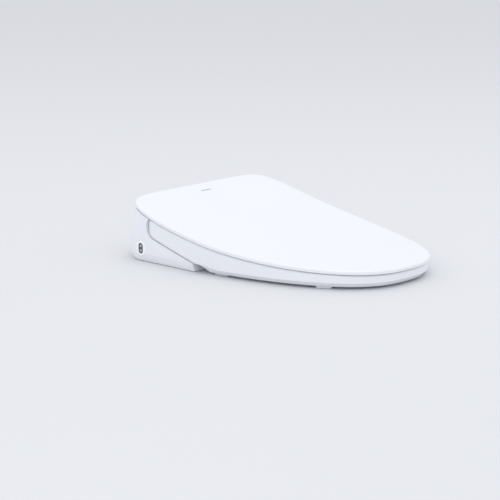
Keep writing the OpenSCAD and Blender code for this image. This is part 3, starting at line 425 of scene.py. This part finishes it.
def indicator_lens(name, colour):
    """Clouded lens of an indicator lamp, with a fine haze in its colour and gloss."""
    f = Finish(name)
    haze = f.noise(700.0, 3.0)
    return f.surface(Base_Color=f.between(shade(colour, 0.9), shade(colour, 1.08), haze),
                     Roughness=0.14 + haze * 0.12, Coat_Weight=0.6, Normal=f.bump(haze, 0.05, 0.0001))


def studio_floor(name, colour):
    """Pale seamless paper."""
    f = Finish(name)
    fibre = f.noise(60.0, 6.0)
    return f.surface(Base_Color=f.between(shade(colour, 0.995), shade(colour, 1.004), fibre),
                     Roughness=0.8 + fibre * 0.1, Specular_IOR_Level=0.15, Normal=f.bump(fibre, 0.02, 0.0002))


FINISHES = {}


def make_finishes(colours):
    """One finish for each material slot of the frame, and those of the added pieces."""
    shell = tuple(colours.shell)
    table = {
        "white_gloss": lambda n: glossy_plastic(n, shell),
        "white_satin": lambda n: matt_plastic(n, shade(shell, 0.98), 0.36, 1500.0, 0.00006),
        "pale_plastic": lambda n: matt_plastic(n, (0.66, 0.67, 0.7), 0.42),
        "grey_plastic": lambda n: matt_plastic(n, (0.34, 0.35, 0.38), 0.42),
        "dark_plastic": lambda n: matt_plastic(n, (0.055, 0.057, 0.063), 0.4),
        "rubber": lambda n: rubbery(n, (0.06, 0.062, 0.068)),
        "steel": lambda n: brushed_metal(n, (0.62, 0.63, 0.65)),
        "brass": lambda n: brushed_metal(n, (0.72, 0.54, 0.27), 0.24, (1.0, 40.0, 1.0), 90.0),
        "tank_plastic": lambda n: matt_plastic(n, (0.55, 0.51, 0.42), 0.38),
        "coil_blue": lambda n: wound_coil(n, (0.05, 0.12, 0.26)),
        "heating_foil": lambda n: printed_foil(n, (0.72, 0.42, 0.22)),
        "board_green": lambda n: circuit_board(n, (0.02, 0.16, 0.07)),
        "amber_gear": lambda n: matt_plastic(n, (0.72, 0.6, 0.34), 0.4),
        "clear_lens": lambda n: indicator_lens(n, tuple(colours.lens)),
        "charcoal": lambda n: charcoal_block(n, (0.03, 0.03, 0.033)),
        "button_face": lambda n: rubbery(n, tuple(colours.button)),
        "lid_mark": lambda n: matt_plastic(n, tuple(colours.mark), 0.35, 1200.0, 0.00003),
        # The bezel's finish is the shell's white lifted by a tenth: painted highlight, so the bezel reads
        # brighter than the housing round it.
        "bezel_white": lambda n: glossy_plastic(n, shade(shell, 1.1), 0.16, 0.6),
        "pad_white": lambda n: rubbery(n, (0.8, 0.81, 0.83)),
    }
    for name, maker in table.items():
        FINISHES[name] = maker(name)


SLOT_OF = {s["node"]: s["material_slot"] for s in frame["record"]["subparts"]}


# ---------- meshes ----------

def link(name, mesh):
    piece = bpy.data.objects.new(name, mesh)
    bpy.context.scene.collection.objects.link(piece)
    return piece


def solid(name, points, faces):
    """Piece from points in millimetres and faces, turned to point outwards."""
    mesh = bpy.data.meshes.new(name)
    mesh.from_pydata([tuple(c * MM for c in p) for p in points], [], faces)
    bm = bmesh.new()
    bm.from_mesh(mesh)
    bmesh.ops.recalc_face_normals(bm, faces=bm.faces)
    bm.to_mesh(mesh)
    bm.free()
    return link(name, mesh)


def loft(name, rings, first=None, last=None, loop=False):
    """Skin over a stack of rings. Its ends close at a point, as flat faces, or on each other in a loop."""
    n, m = len(rings[0]), len(rings)
    points = [p for ring in rings for p in ring]
    faces = []
    for k in range(m if loop else m - 1):
        a, b = k * n, (k + 1) % m * n
        faces += [(a + i, a + (i + 1) % n, b + (i + 1) % n, b + i) for i in range(n)]
    if not loop:
        for end, base in ((first, 0), (last, (m - 1) * n)):
            if end is None:
                faces.append(tuple(range(base, base + n)))
            else:
                points.append(end)
                faces += [(base + i, base + (i + 1) % n, len(points) - 1) for i in range(n)]
    return solid(name, points, faces)


def prism(name, outline, x0, x1):
    """Outline of (y, z) points drawn out along X."""
    return loft(name, [[(x, y, z) for y, z in outline] for x in (x0, x1)])


def lathe(name, profile, at, axis="Z", count=48):
    """Profile of (radius, height) points turned round an axis through a point."""
    rings = []
    for r, h in profile:
        ring = []
        for i in range(count):
            a = 2 * math.pi * i / count
            u, v = r * math.cos(a), r * math.sin(a)
            ring.append({"X": (h, u, v), "Y": (u, h, v), "Z": (u, v, h)}[axis])
        rings.append([tuple(p + q for p, q in zip(point, at)) for point in ring])
    return loft(name, rings)


def pill(name, levels, at, turn, steps=20):
    """Stadium shape: levels of (length, width, height), moved by a matrix and to a point in millimetres."""
    rings = []
    for length, width, h in levels:
        ring = []
        for end in (1, -1):
            for i in range(steps + 1):
                a = math.radians(-90 + 180 * i / steps) + (0 if end > 0 else math.pi)
                x = end * (length - width) / 2 + width / 2 * math.cos(a)
                ring.append((x, width / 2 * math.sin(a), h))
        rings.append([tuple(turn @ Vector(p) + Vector(at)) for p in ring])
    return loft(name, rings)


def carve(piece, tools, operation):
    """Cuts, joins or keeps the overlap of a piece and some tools, which are used up."""
    for tool in tools:
        mod = piece.modifiers.new("carve", "BOOLEAN")
        mod.operation, mod.object, mod.solver = operation, tool, "MANIFOLD"
        apply_modifiers(piece)
        bpy.data.objects.remove(tool)
    if not piece.data.polygons:
        raise RuntimeError(piece.name + " came out empty")
    return piece


def apply_modifiers(piece):
    """Makes a piece's own mesh what its modifiers show."""
    view = bpy.context.evaluated_depsgraph_get()
    made = bpy.data.meshes.new_from_object(piece.evaluated_get(view))
    piece.modifiers.clear()
    piece.data = made
    return piece


def smooth(piece, angle=30.0):
    """Smooth shading with sharp edges kept where faces meet at more than an angle."""
    mesh = piece.data
    mesh.polygons.foreach_set("use_smooth", [True] * len(mesh.polygons))
    mesh.set_sharp_from_angle(angle=math.radians(angle))
    mesh.update()
    return piece


def settle(piece, body, finish, nodes=()):
    """Gives a piece its finish, its body and the frame's nodes that it stands for."""
    piece.data.materials.clear()
    piece.data.materials.append(FINISHES[finish])
    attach(piece, body)
    if nodes:
        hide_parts(*nodes)
    return piece


def body_with(node):
    for body, members in frame["record"]["behaviour"]["bodies"].items():
        if node in members:
            return body
    raise RuntimeError("no body holds " + node)


def welded(name, node):
    """Copy of a frame node with its doubled corners merged."""
    bm = bmesh.new()
    bm.from_mesh(frame["nodes"][node].data)
    bmesh.ops.remove_doubles(bm, verts=bm.verts, dist=WELD)
    mesh = bpy.data.meshes.new(name)
    bm.to_mesh(mesh)
    bm.free()
    return link(name, mesh)


def refine(node, finish=None, width=None, angle=30.0, more=()):
    """Copy of a frame node joined with more that meet it, its flats merged, its edges rounded and smooth."""
    piece = welded(node + "_skin", node)
    carve(piece, [welded(name + "_part", name) for name in more], "UNION")
    mesh = piece.data
    bm = bmesh.new()
    bm.from_mesh(mesh)
    bmesh.ops.remove_doubles(bm, verts=bm.verts, dist=WELD)
    bmesh.ops.dissolve_limit(bm, angle_limit=math.radians(FLAT_ANGLE), verts=bm.verts, edges=bm.edges)
    bm.to_mesh(mesh)
    bm.free()
    if "custom_normal" in mesh.attributes:
        mesh.attributes.remove(mesh.attributes["custom_normal"])
    width = bpy.context.scene.bidet_sizes.edge_round if width is None else width
    if width:
        mod = piece.modifiers.new("rounding", "BEVEL")
        mod.width, mod.segments, mod.limit_method = width, 2, "ANGLE"
        mod.angle_limit, mod.use_clamp_overlap = math.radians(35), True
        apply_modifiers(piece)
    smooth(piece, angle)
    slot = SLOT_OF[node]
    return settle(piece, body_with(node), finish or slot, (node, *more))


# ---------- repeated detail ----------

def repeat_tree(name, layout, item):
    """Geometry node tree that sets an item on a row or a circle, or on the points it is given."""
    tree = bpy.data.node_groups.new(name, "GeometryNodeTree")
    tree.interface.new_socket("Geometry", in_out="OUTPUT", socket_type="NodeSocketGeometry")
    tree.interface.new_socket("Geometry", in_out="INPUT", socket_type="NodeSocketGeometry")
    kinds = {"Count": "Int", "Spacing": "Vector", "Circle Radius": "Float", "Item Radius": "Float",
             "Item Height": "Float", "Item Size": "Vector", "Turn": "Vector", "Centre": "Vector",
             "Material": "Material"}
    ids = {key: tree.interface.new_socket(key, in_out="INPUT", socket_type="NodeSocket" + kind).identifier
           for key, kind in kinds.items()}

    def node(kind, settings=None, sockets=None):
        n = tree.nodes.new(kind)
        for key, value in (settings or {}).items():
            setattr(n, key, value)
        for key, value in (sockets or {}).items():
            if isinstance(value, bpy.types.NodeSocket):
                tree.links.new(value, n.inputs[key])
            else:
                n.inputs[key].default_value = value
        return n

    given = node("NodeGroupInput").outputs
    if layout == "row":
        points = node("GeometryNodeMeshLine", None,
                      {"Count": given["Count"], "Offset": given["Spacing"]}).outputs["Mesh"]
    elif layout == "circle":
        points = node("GeometryNodeMeshCircle", None,
                      {"Vertices": given["Count"], "Radius": given["Circle Radius"]}).outputs["Mesh"]
    else:
        points = given["Geometry"]
    if item == "ridge":
        circle = node("GeometryNodeCurvePrimitiveCircle", None,
                      {"Resolution": 64, "Radius": given["Circle Radius"]}).outputs["Curve"]
        ridge = node("GeometryNodeCurvePrimitiveCircle", None,
                     {"Resolution": 4, "Radius": given["Item Radius"]})
        shape = node("GeometryNodeCurveToMesh", None,
                     {"Curve": circle, "Profile Curve": ridge.outputs["Curve"]}).outputs["Mesh"]
    elif item == "block":
        shape = node("GeometryNodeMeshCube", None, {"Size": given["Item Size"]}).outputs["Mesh"]
    else:
        sizes = {"Vertices": 12, "Radius": given["Item Radius"], "Depth": given["Item Height"]}
        shape = node("GeometryNodeMeshCylinder", None, sizes).outputs["Mesh"]
    turn = given["Turn"]
    if layout == "circle":
        place = node("GeometryNodeInputPosition").outputs["Position"]
        axes = node("FunctionNodeAlignRotationToVector", {"axis": "X"}, {"Vector": place})
        turn = axes.outputs["Rotation"]
    set_out = node("GeometryNodeInstanceOnPoints", None,
                   {"Points": points, "Instance": shape, "Rotation": turn})
    plain = node("GeometryNodeRealizeInstances", None, {"Geometry": set_out.outputs["Instances"]})
    where = plain.outputs["Geometry"]
    if layout == "circle":
        where = node("GeometryNodeTransform", None,
                     {"Geometry": where, "Rotation": given["Turn"]}).outputs["Geometry"]
    moved = node("GeometryNodeTransform", None, {"Geometry": where, "Translation": given["Centre"]})
    done = node("GeometryNodeSetMaterial", None,
                {"Geometry": moved.outputs["Geometry"], "Material": given["Material"]})
    tree.links.new(done.outputs["Geometry"], node("NodeGroupOutput").inputs["Geometry"])
    return tree, ids


def repeated(name, layout, item, finish, body, points=(), slot=None, **values):
    """Piece made of repeated items, as one plain mesh."""
    tree, ids = repeat_tree(name, layout, item)
    mesh = bpy.data.meshes.new(name)
    mesh.from_pydata([tuple(c * MM for c in p) for p in points], [], [])
    piece = link(name, mesh)
    mod = piece.modifiers.new("repeat", "NODES")
    mod.node_group = tree
    mod[ids["Material"]] = FINISHES[finish]
    for key, value in values.items():
        mod[ids[key.replace("_", " ")]] = value
    piece.data.update()
    apply_modifiers(piece)
    if not piece.data.polygons:
        raise RuntimeError(name + " has no faces")
    smooth(piece, 35.0)
    return settle(piece, body, finish, ())


# ---------- pieces ----------

class Maker:
    """What the building operators share."""
    bl_options = {"REGISTER", "UNDO"}

    def execute(self, context):
        self.build(context.scene.bidet_sizes, context.scene.bidet_colours)
        return {"FINISHED"}


class BIDET_OT_finishes(Maker, bpy.types.Operator):
    """Makes the finishes and gives every frame node its own"""
    bl_idname = "bidet.finishes"
    bl_label = "Finishes"

    def build(self, sizes, colours):
        make_finishes(colours)
        for node, piece in frame["nodes"].items():
            piece.data.materials.clear()
            piece.data.materials.append(FINISHES[SLOT_OF[node]])


class BIDET_OT_lid(Maker, bpy.types.Operator):
    """Lid shell with its rounded rim, its bumpers, hinge lugs and plain mark"""
    bl_idname = "bidet.lid"
    bl_label = "Lid"

    def build(self, sizes, colours):
        ts = even_angles([lambda t: outline_pt(LID_LINE, t)], sizes.points_round)

        def ring(d, k, h):
            out = []
            for t in ts:
                x, y = outline_pt(inset(LID_LINE, d), t)
                y = -WIDEST + (y + WIDEST) * k
                out.append((x * k, y, seam_z(y) + h + LID_CROWN * (1 - k * k)))
            return out

        h, w = LID_EDGE_H, LID_WALL
        shrink = [0.06, 0.14, 0.25, 0.37, 0.5, 0.61, 0.72, 0.8, 0.88, 0.93, 0.97]
        under = [ring(w + 5, k, h - w) for k in shrink]
        rim = [ring(w + 5, 1, h - w - 0.4), ring(w + 3, 1, h - w - 0.8), ring(w + 1.5, 1, h - w - 1.6),
               ring(w + 0.5, 1, h - w - 2.4), ring(w, 1, h - w - 3.4), ring(w, 1, 0.3), ring(w - 0.3, 1, 0),
               ring(0.6, 1, 0), ring(0.18, 1, 0.18), ring(0, 1, 0.6)]
        for i in range(13):
            a = math.radians(90 * i / 12)
            rim.append(ring(5 * (1 - math.cos(a)) ** 1.1, 1, h - 3.6 + 3.6 * math.sin(a)))
        over = [ring(5, k, h) for k in reversed(shrink)]
        mid = seam_z(-WIDEST) + LID_CROWN + h
        piece = loft("lid_shell", under + rim + over, (0, -WIDEST, mid - w), (0, -WIDEST, mid))
        settle(smooth(piece, 40), "lid", "white_gloss", ("lid_cover",))
        refine("lid_lugs", "white_gloss")
        tops = []
        for y in (-LID_FRONT + 30, -WIDEST - 40):
            x = half_w_at(RING_LINE, y) - 24
            low = seam_z(y) - LID_GAP + 0.5
            top = min(seam_z(y - 4), seam_z(y + 4)) + LID_EDGE_H - LID_WALL - 0.4
            tops += [(side * x, y, low, top) for side in (1, -1)]
        pads = []
        for x, y, low, top in tops:
            dome = [(0.8, low), (2.2, low + 0.15), (3.2, low + 0.6), (3.8, low + 1.3), (4, low + 2), (4, top)]
            pads.append(lathe("pad", dome, (x, y, 0)))
        settle(smooth(join("lid_pads", pads)), "lid", "pad_white", ("lid_bumpers",))
        low, high = [Vector(c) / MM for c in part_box("lid_badge")]
        turn = Matrix.Rotation(math.radians(MARK_SLOPE), 3, "X")
        levels = [(24.6, 2.0, -0.2), (25, 2.4, -0.05), (25, 2.4, 0.1), (24.6, 2.0, 0.22)]
        mark = pill("lid_mark", levels, (low + high) / 2, turn)
        settle(smooth(mark), "lid", "lid_mark", ("lid_badge",))


def join(name, parts):
    """One piece from several."""
    bm = bmesh.new()
    for part in parts:
        bm.from_mesh(part.data)
        bpy.data.objects.remove(part)
    mesh = bpy.data.meshes.new(name)
    bm.to_mesh(mesh)
    bm.free()
    return link(name, mesh)


BACK_CY = RING_BACK - RING_BACK_R
BACK_CZ = under_z(BACK_CY + RING_BACK_R * 0.272) + RING_BACK_R * 0.962
SKIN_LINE = [(0, -3), (0.02, -0.8), (0.07, 0), (0.35, -0.6), (0.62, -DISH * 0.45), (0.84, -DISH),
             (0.95, -DISH - 2.6), (1, -DISH - 7)]
SKIN_STEPS = (0, 0.004, 0.01, 0.02, 0.035, 0.05, 0.07, 0.1, 0.15, 0.21, 0.28, 0.35, 0.42, 0.49, 0.56, 0.62,
              0.68, 0.74, 0.79, 0.84, 0.88, 0.92, 0.95, 0.97, 0.985, 1)


def ring_under(g):
    """Side view of the ring's underside and rounded back, grown by g."""
    arc = []
    for i in range(36):
        a = math.radians(-74 + 3.4 * i)
        arc.append((BACK_CY + (RING_BACK_R + g) * math.cos(a), BACK_CZ + (RING_BACK_R + g) * math.sin(a)))
    return [(-LID_FRONT - 10, RING_LIFT - g), (-FLAT_END, RING_LIFT - g), (-WING_FRONT, WING_TIP_H - g)] + arc


def ring_body(ts, d):
    """The ring's solid, d inside its own surface."""
    def across(e, height):
        out = []
        for t in ts:
            (ox, oy), (ix, iy) = ring_pt(t, d), hole_pt(t, d)
            x, y = ox + (ix - ox) * e, oy + (iy - oy) * e
            out.append((x, y, height(y)))
        return out

    def edge(inward, height):
        return [(x, y, height(y)) for x, y in (ring_pt(t, inward) for t in ts)]

    rings = [edge(BEVEL_W + d, lambda y: under_z(y) - 0.05), edge(d, bevel_z)]
    for e in SKIN_STEPS:
        drop = curve_through(SKIN_LINE, e)
        rings.append(across(e, lambda y: seam_z(y) - LID_GAP + drop - d))
    rings.append(across(1, lambda y: under_z(y) - 2))
    piece = loft("ring_body", rings, loop=True)
    room = prism("room", ring_under(-d) + [(BACK_CY, 200), (-LID_FRONT - 10, 200)], -LID_HALF_W, LID_HALF_W)
    return carve(piece, [room], "INTERSECT")


def lower_band(grow):
    top = RING_LIFT + BEVEL_H + grow
    far = -LID_FRONT - 10
    return prism("band", [(far, -5), (far, top), (-BEVEL_END, top), (-WING_FRONT, WING_TIP_H + 3 + grow),
                          (BACK_CY + 8, under_z(BACK_CY + 8) + 3 + grow), (BACK_CY + 8, -5)],
                 -LID_HALF_W, LID_HALF_W)


def arm_openings(g):
    """Room in the ring's back wall for its two hinge arms."""
    y = RING_BACK - 6
    tools = []
    for side in (1, -1):
        xs = sorted((side * (ARM_X - g), side * (ARM_X + ARM_W + g)))
        tools.append(prism("arm", [(AXIS_Y, AXIS_Z + EYE_R + g), (y, 75.5 + g), (y, 66 - g),
                                   (AXIS_Y, AXIS_Z - EYE_R - g)], *xs))
    return tools


class BIDET_OT_ring(Maker, bpy.types.Operator):
    """Seat ring: upper shell, lower shell, hinge arms, pads and the screws of its underside"""
    bl_idname = "bidet.ring"
    bl_label = "Seat ring"

    def build(self, sizes, colours):
        ts = even_angles([lambda t: ring_pt(t, 0), lambda t: hole_pt(t, 0)], sizes.points_round)
        top = carve(ring_body(ts, 0), [ring_body(ts, RING_WALL)], "DIFFERENCE")
        pan = link("pan", top.data.copy())
        carve(top, [lower_band(0.12)] + arm_openings(0.3), "DIFFERENCE")
        carve(pan, [lower_band(0)], "INTERSECT")
        top.name, pan.name = "seat_shell", "seat_pan"
        settle(smooth(top, 28), "ring", "white_gloss", ("seat_top",))
        settle(smooth(pan, 28), "ring", "white_gloss", ("seat_base",))
        refine("ring_arms", "white_gloss")
        pads = []
        for y, turn in ((-LID_FRONT + 91, 58), (-FLAT_END - 18, 84)):
            x = half_w_at(RING_LINE, y) - BEVEL_W - 9
            for side in (1, -1):
                spin = Matrix.Rotation(math.radians(side * turn), 3, "Z")
                levels = [(26.4, 7.4, 0), (27.4, 8.4, 0.3), (28, 9, 1), (28, 9, RING_LIFT)]
                pads.append(pill("pad", levels, (side * x, y, 0), spin))
        settle(smooth(join("ring_pads", pads)), "ring", "pad_white", ("seat_bumpers",))
        places = []
        for i in range(sizes.pan_screws):
            t = 22 + 66 * i / (sizes.pan_screws - 1)
            (ox, oy), (ix, iy) = ring_pt(t, 0), hole_pt(t, 0)
            x, y = (ox + ix) / 2, (oy + iy) / 2
            places += [(x, y, RING_LIFT - 0.1), (-x, y, RING_LIFT - 0.1)]
        repeated("ring_screws", "points", "round", "steel", "ring", places,
                 Item_Radius=2.9 * MM, Item_Height=0.9 * MM)
        # Dark plastic blocks in the screw heads are painted shade, standing for the shadow inside the screws'
        # slots.
        repeated("ring_screw_slots", "points", "block", "dark_plastic", "ring",
                 [(x, y, RING_LIFT - 0.5) for x, y, _ in places], Item_Size=(3.6 * MM, 0.7 * MM, 0.3 * MM))


class BIDET_OT_housing(Maker, bpy.types.Operator):
    """Housing: its cover, front panel, tray, hinge brackets, feet and screws"""
    bl_idname = "bidet.housing"
    bl_label = "Housing"

    def build(self, sizes, colours):
        refine("upper_cover", width=0.0, angle=26.0, more=("cover_sides", "cover_back"))
        refine("front_panel")
        refine("hinge_brackets", "white_gloss", 0.0003)
        refine("lower_case", "white_satin", 0.0)
        for node in ("hinge_pins", "release_button", "dryer_flap", "case_screws"):
            refine(node)
        profile = [(6.9, 0), (7.6, 0.25), (8, 0.9), (8, 3), (7.7, 3.3), (7.7, 3.8), (8, 4.1), (8, 7.3)]
        feet = [lathe("foot", profile, (side * x, y, 0)) for x, y in FEET_AT for side in (1, -1)]
        settle(smooth(join("feet", feet)), "unit", "rubber", ("rubber_feet",))


class BIDET_OT_button(Maker, bpy.types.Operator):
    """Side button: a white bezel, a dark rubbery oval and two lamp lenses"""
    bl_idname = "bidet.button"
    bl_label = "Side button"

    def build(self, sizes, colours):
        turn = Matrix.Rotation(math.radians(-90), 3, "Y")
        outer = [(27.5, 22.5, -7), (27.5, 22.5, 0), (27.2, 22.2, 0.35), (26.5, 21.5, 0.62), (25.8, 20.8, 0.7)]
        bezel = pill("bezel", outer, BUTTON_AT, turn, 32)
        room = pill("bezel_room", [(19.2, 11.2, -9), (19.2, 11.2, 0.1), (20.2, 12.2, 2)], BUTTON_AT, turn, 32)
        carve(bezel, [room], "DIFFERENCE")
        # Painted highlight: the bezel's finish is a lighter copy of the shell's white.
        settle(smooth(bezel), "unit", "bezel_white", ("button_bezel",))
        face = [(19, 11, -6), (19, 11, -0.2), (18.7, 10.7, 0.12), (18, 10, 0.3), (16, 8, 0.22)]
        key = pill("key", face, BUTTON_AT, turn, 32)
        lamps, wells = [], []
        for s in (-4.2, 4.2):
            x, y, z = BUTTON_AT
            wells.append(lathe("well", [(2.1, 0.9), (2.1, -3)], (x, y, z + s), "X", 40))
            lens = [(2.02, 0.7), (2.02, -0.1), (1.8, -0.3), (1.1, -0.42)]
            lamps.append(lathe("lamp", lens, (x, y, z + s), "X", 40))
        carve(key, wells, "DIFFERENCE")
        settle(smooth(key), "side_key", "button_face", ("side_button",))
        settle(smooth(join("lamp_lenses", lamps)), "side_key", "clear_lens", ("led_lenses",))


class BIDET_OT_fittings(Maker, bpy.types.Operator):
    """Water inlet with its thread, strainer cap, cord gland and filter drawer"""
    bl_idname = "bidet.fittings"
    bl_label = "Fittings"

    def build(self, sizes, colours):
        crest, depth = 10.48, sizes.thread_depth / MM
        root = crest - depth
        start, end = 0.0, 13.4
        profile = [(5, end), (5, -55.1), (7, -55.1), (7, start), (root, start), (root, end - 0.6),
                   (root - 0.6, end), (5, end)]
        pipe = loft("inlet", [turned_ring(r, h, INLET_AT) for r, h in profile[:-1]], loop=True)
        settle(smooth(pipe), "unit", "brass", ("water_inlet",))
        pitch = sizes.thread_pitch
        count = int((end - 2.2) * MM / pitch) + 1
        repeated("inlet_thread", "row", "ridge", "brass", "unit", slot="brass", Count=count,
                 Spacing=(0, 0, pitch), Circle_Radius=root * MM, Item_Radius=depth * MM,
                 Centre=tuple(c * MM for c in (INLET_AT[0], INLET_AT[1] + 1.2, INLET_AT[2])), Turn=(0, 0, 0))
        refine("inlet_strainer", width=0.0005)
        refine("cord_gland", width=0.0005)
        turn = (math.radians(90), 0, 0)
        for name, at, r, long, finish in (("strainer_grip", STRAINER_AT, 9.5, 2.6, "grey_plastic"),
                                          ("gland_grip", GLAND_AT, 10.5, 2.2, "dark_plastic")):
            centre = tuple(c * MM for c in (at[0], at[1] + 1.6, at[2]))
            repeated(name, "circle", "block", finish, "unit", slot=finish, Count=sizes.grip_ribs,
                     Circle_Radius=r * MM, Item_Size=(0.7 * MM, 0.9 * MM, long * MM),
                     Turn=turn, Centre=centre)
        refine("filter_cartridge")
        ribs = [(187.4, y, 18.3) for y in (-60, -57.5, -38.5, -36)]
        repeated("drawer_ribs", "points", "block", "white_satin", "filter", ribs, slot="white_satin",
                 Item_Size=(0.5 * MM, 0.8 * MM, 10 * MM))


def turned_ring(r, h, at, count=64):
    """Ring of radius r round a line along Y, h past a point."""
    angles = [2 * math.pi * i / count for i in range(count)]
    return [(at[0] + r * math.cos(a), at[1] + h, at[2] + r * math.sin(a)) for a in angles]


class BIDET_OT_wand(Maker, bpy.types.Operator):
    """Wand, its tip, rack and pinion, and the guide that it slides on"""
    bl_idname = "bidet.wand"
    bl_label = "Wand"

    def build(self, sizes, colours):
        for node in ("wand_tube", "nozzle_tip"):
            refine(node, "white_gloss", 0.0)
        refine("wand_rack", width=0.0)
        refine("wand_pinion", width=0.0)
        refine("wand_guide", width=0.0003)


class BIDET_OT_plate(Maker, bpy.types.Operator):
    """Mounting plate with its two adjusters and pads"""
    bl_idname = "bidet.plate"
    bl_label = "Mounting plate"

    def build(self, sizes, colours):
        for node in ("base_plate", "plate_adjusters"):
            refine(node, width=0.0003)


class BIDET_OT_works(Maker, bpy.types.Operator):
    """Blower, heater, valves, dampers and electrics inside the housing"""
    bl_idname = "bidet.works"
    bl_label = "Inner works"

    def build(self, sizes, colours):
        for node in ("blower_housing", "blower_motor", "heater_tank", "valve_block", "solenoids",
                     "vacuum_breaker", "wand_motor", "lid_damper", "ring_damper", "power_supply",
                     "water_hoses"):
            refine(node, width=0.0003)
        low, high = [Vector(c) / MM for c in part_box("power_supply")]
        cans = [(low.x + 8 + 9 * i, high.y - 6, high.z - 2.0) for i in range(3)]
        repeated("supply_cans", "points", "round", "steel", "unit", cans,
                 Item_Radius=3.2 * MM, Item_Height=3.0 * MM)


class BIDET_OT_stage(Maker, bpy.types.Operator):
    """Pale floor, soft studio lights and the camera"""
    bl_idname = "bidet.stage"
    bl_label = "Stage"

    def build(self, sizes, colours):
        FINISHES["studio_floor"] = studio_floor("studio_floor", tuple(colours.floor))
        half = sizes.floor_size / MM / 2
        floor = loft("floor", [[(-half, -half, z), (half, -half, z), (half, half, z), (-half, half, z)]
                               for z in (-0.4, -20)])
        floor.data.materials.append(FINISHES["studio_floor"])
        target = Vector(LIGHTS_AIM)
        for name, at, size, power in LIGHTS:
            lamp = bpy.data.lights.new(name, "AREA")
            lamp.shape, lamp.size, lamp.energy = "DISK", size, power
            lamp.color = (1.0, 1.0, 1.0)
            light = bpy.data.objects.new(name, lamp)
            light.location = at
            light.rotation_mode = "QUATERNION"
            light.rotation_quaternion = (target - Vector(at)).to_track_quat("-Z", "Y")
            bpy.context.scene.collection.objects.link(light)
        world = bpy.data.worlds.new("studio")
        world.use_nodes = True
        backdrop = world.node_tree.nodes["Background"]
        backdrop.inputs["Color"].default_value = BACKDROP
        backdrop.inputs["Strength"].default_value = BACKDROP_STRENGTH
        bpy.context.scene.world = world
        bpy.context.scene.view_settings.view_transform = "Standard"
        lens = bpy.data.cameras.new("camera")
        lens.lens, lens.sensor_width = CAMERA_LENS, CAMERA_SENSOR
        lens.clip_start, lens.clip_end = 0.05, 200.0
        camera = bpy.data.objects.new("camera", lens)
        a, e = math.radians(CAMERA_AROUND), math.radians(CAMERA_UP)
        back = Vector((math.sin(a) * math.cos(e), -math.cos(a) * math.cos(e), math.sin(e)))
        camera.location = Vector(CAMERA_AIM) + back * CAMERA_REACH
        camera.rotation_mode = "QUATERNION"
        camera.rotation_quaternion = (-back).to_track_quat("-Z", "Y")
        bpy.context.scene.collection.objects.link(camera)
        bpy.context.scene.camera = camera


MAKERS = (BIDET_OT_finishes, BIDET_OT_lid, BIDET_OT_ring, BIDET_OT_housing, BIDET_OT_button,
          BIDET_OT_fittings, BIDET_OT_wand, BIDET_OT_plate, BIDET_OT_works, BIDET_OT_stage)


class BIDET_PT_panel(bpy.types.Panel):
    """Lists the pieces and the settings"""
    bl_label = "Bidet Seat"
    bl_idname = "BIDET_PT_panel"
    bl_space_type = "VIEW_3D"
    bl_region_type = "UI"
    bl_category = "Bidet Seat"

    def draw(self, context):
        for maker in MAKERS:
            self.layout.operator(maker.bl_idname)
        for group in (context.scene.bidet_sizes, context.scene.bidet_colours):
            box = self.layout.box()
            for key in group.__annotations__:
                box.prop(group, key)


CLASSES = (BidetSizes, BidetColours) + MAKERS + (BIDET_PT_panel,)


def register():
    for cls in CLASSES:
        bpy.utils.register_class(cls)
    bpy.types.Scene.bidet_sizes = PointerProperty(type=BidetSizes)
    bpy.types.Scene.bidet_colours = PointerProperty(type=BidetColours)


def unregister():
    del bpy.types.Scene.bidet_colours
    del bpy.types.Scene.bidet_sizes
    for cls in reversed(CLASSES):
        bpy.utils.unregister_class(cls)


def main():
    register()
    for maker in MAKERS:
        group, name = maker.bl_idname.split(".")
        getattr(getattr(bpy.ops, group), name)()
    bpy.context.view_layer.update()


if __name__ == "__main__":
    main()
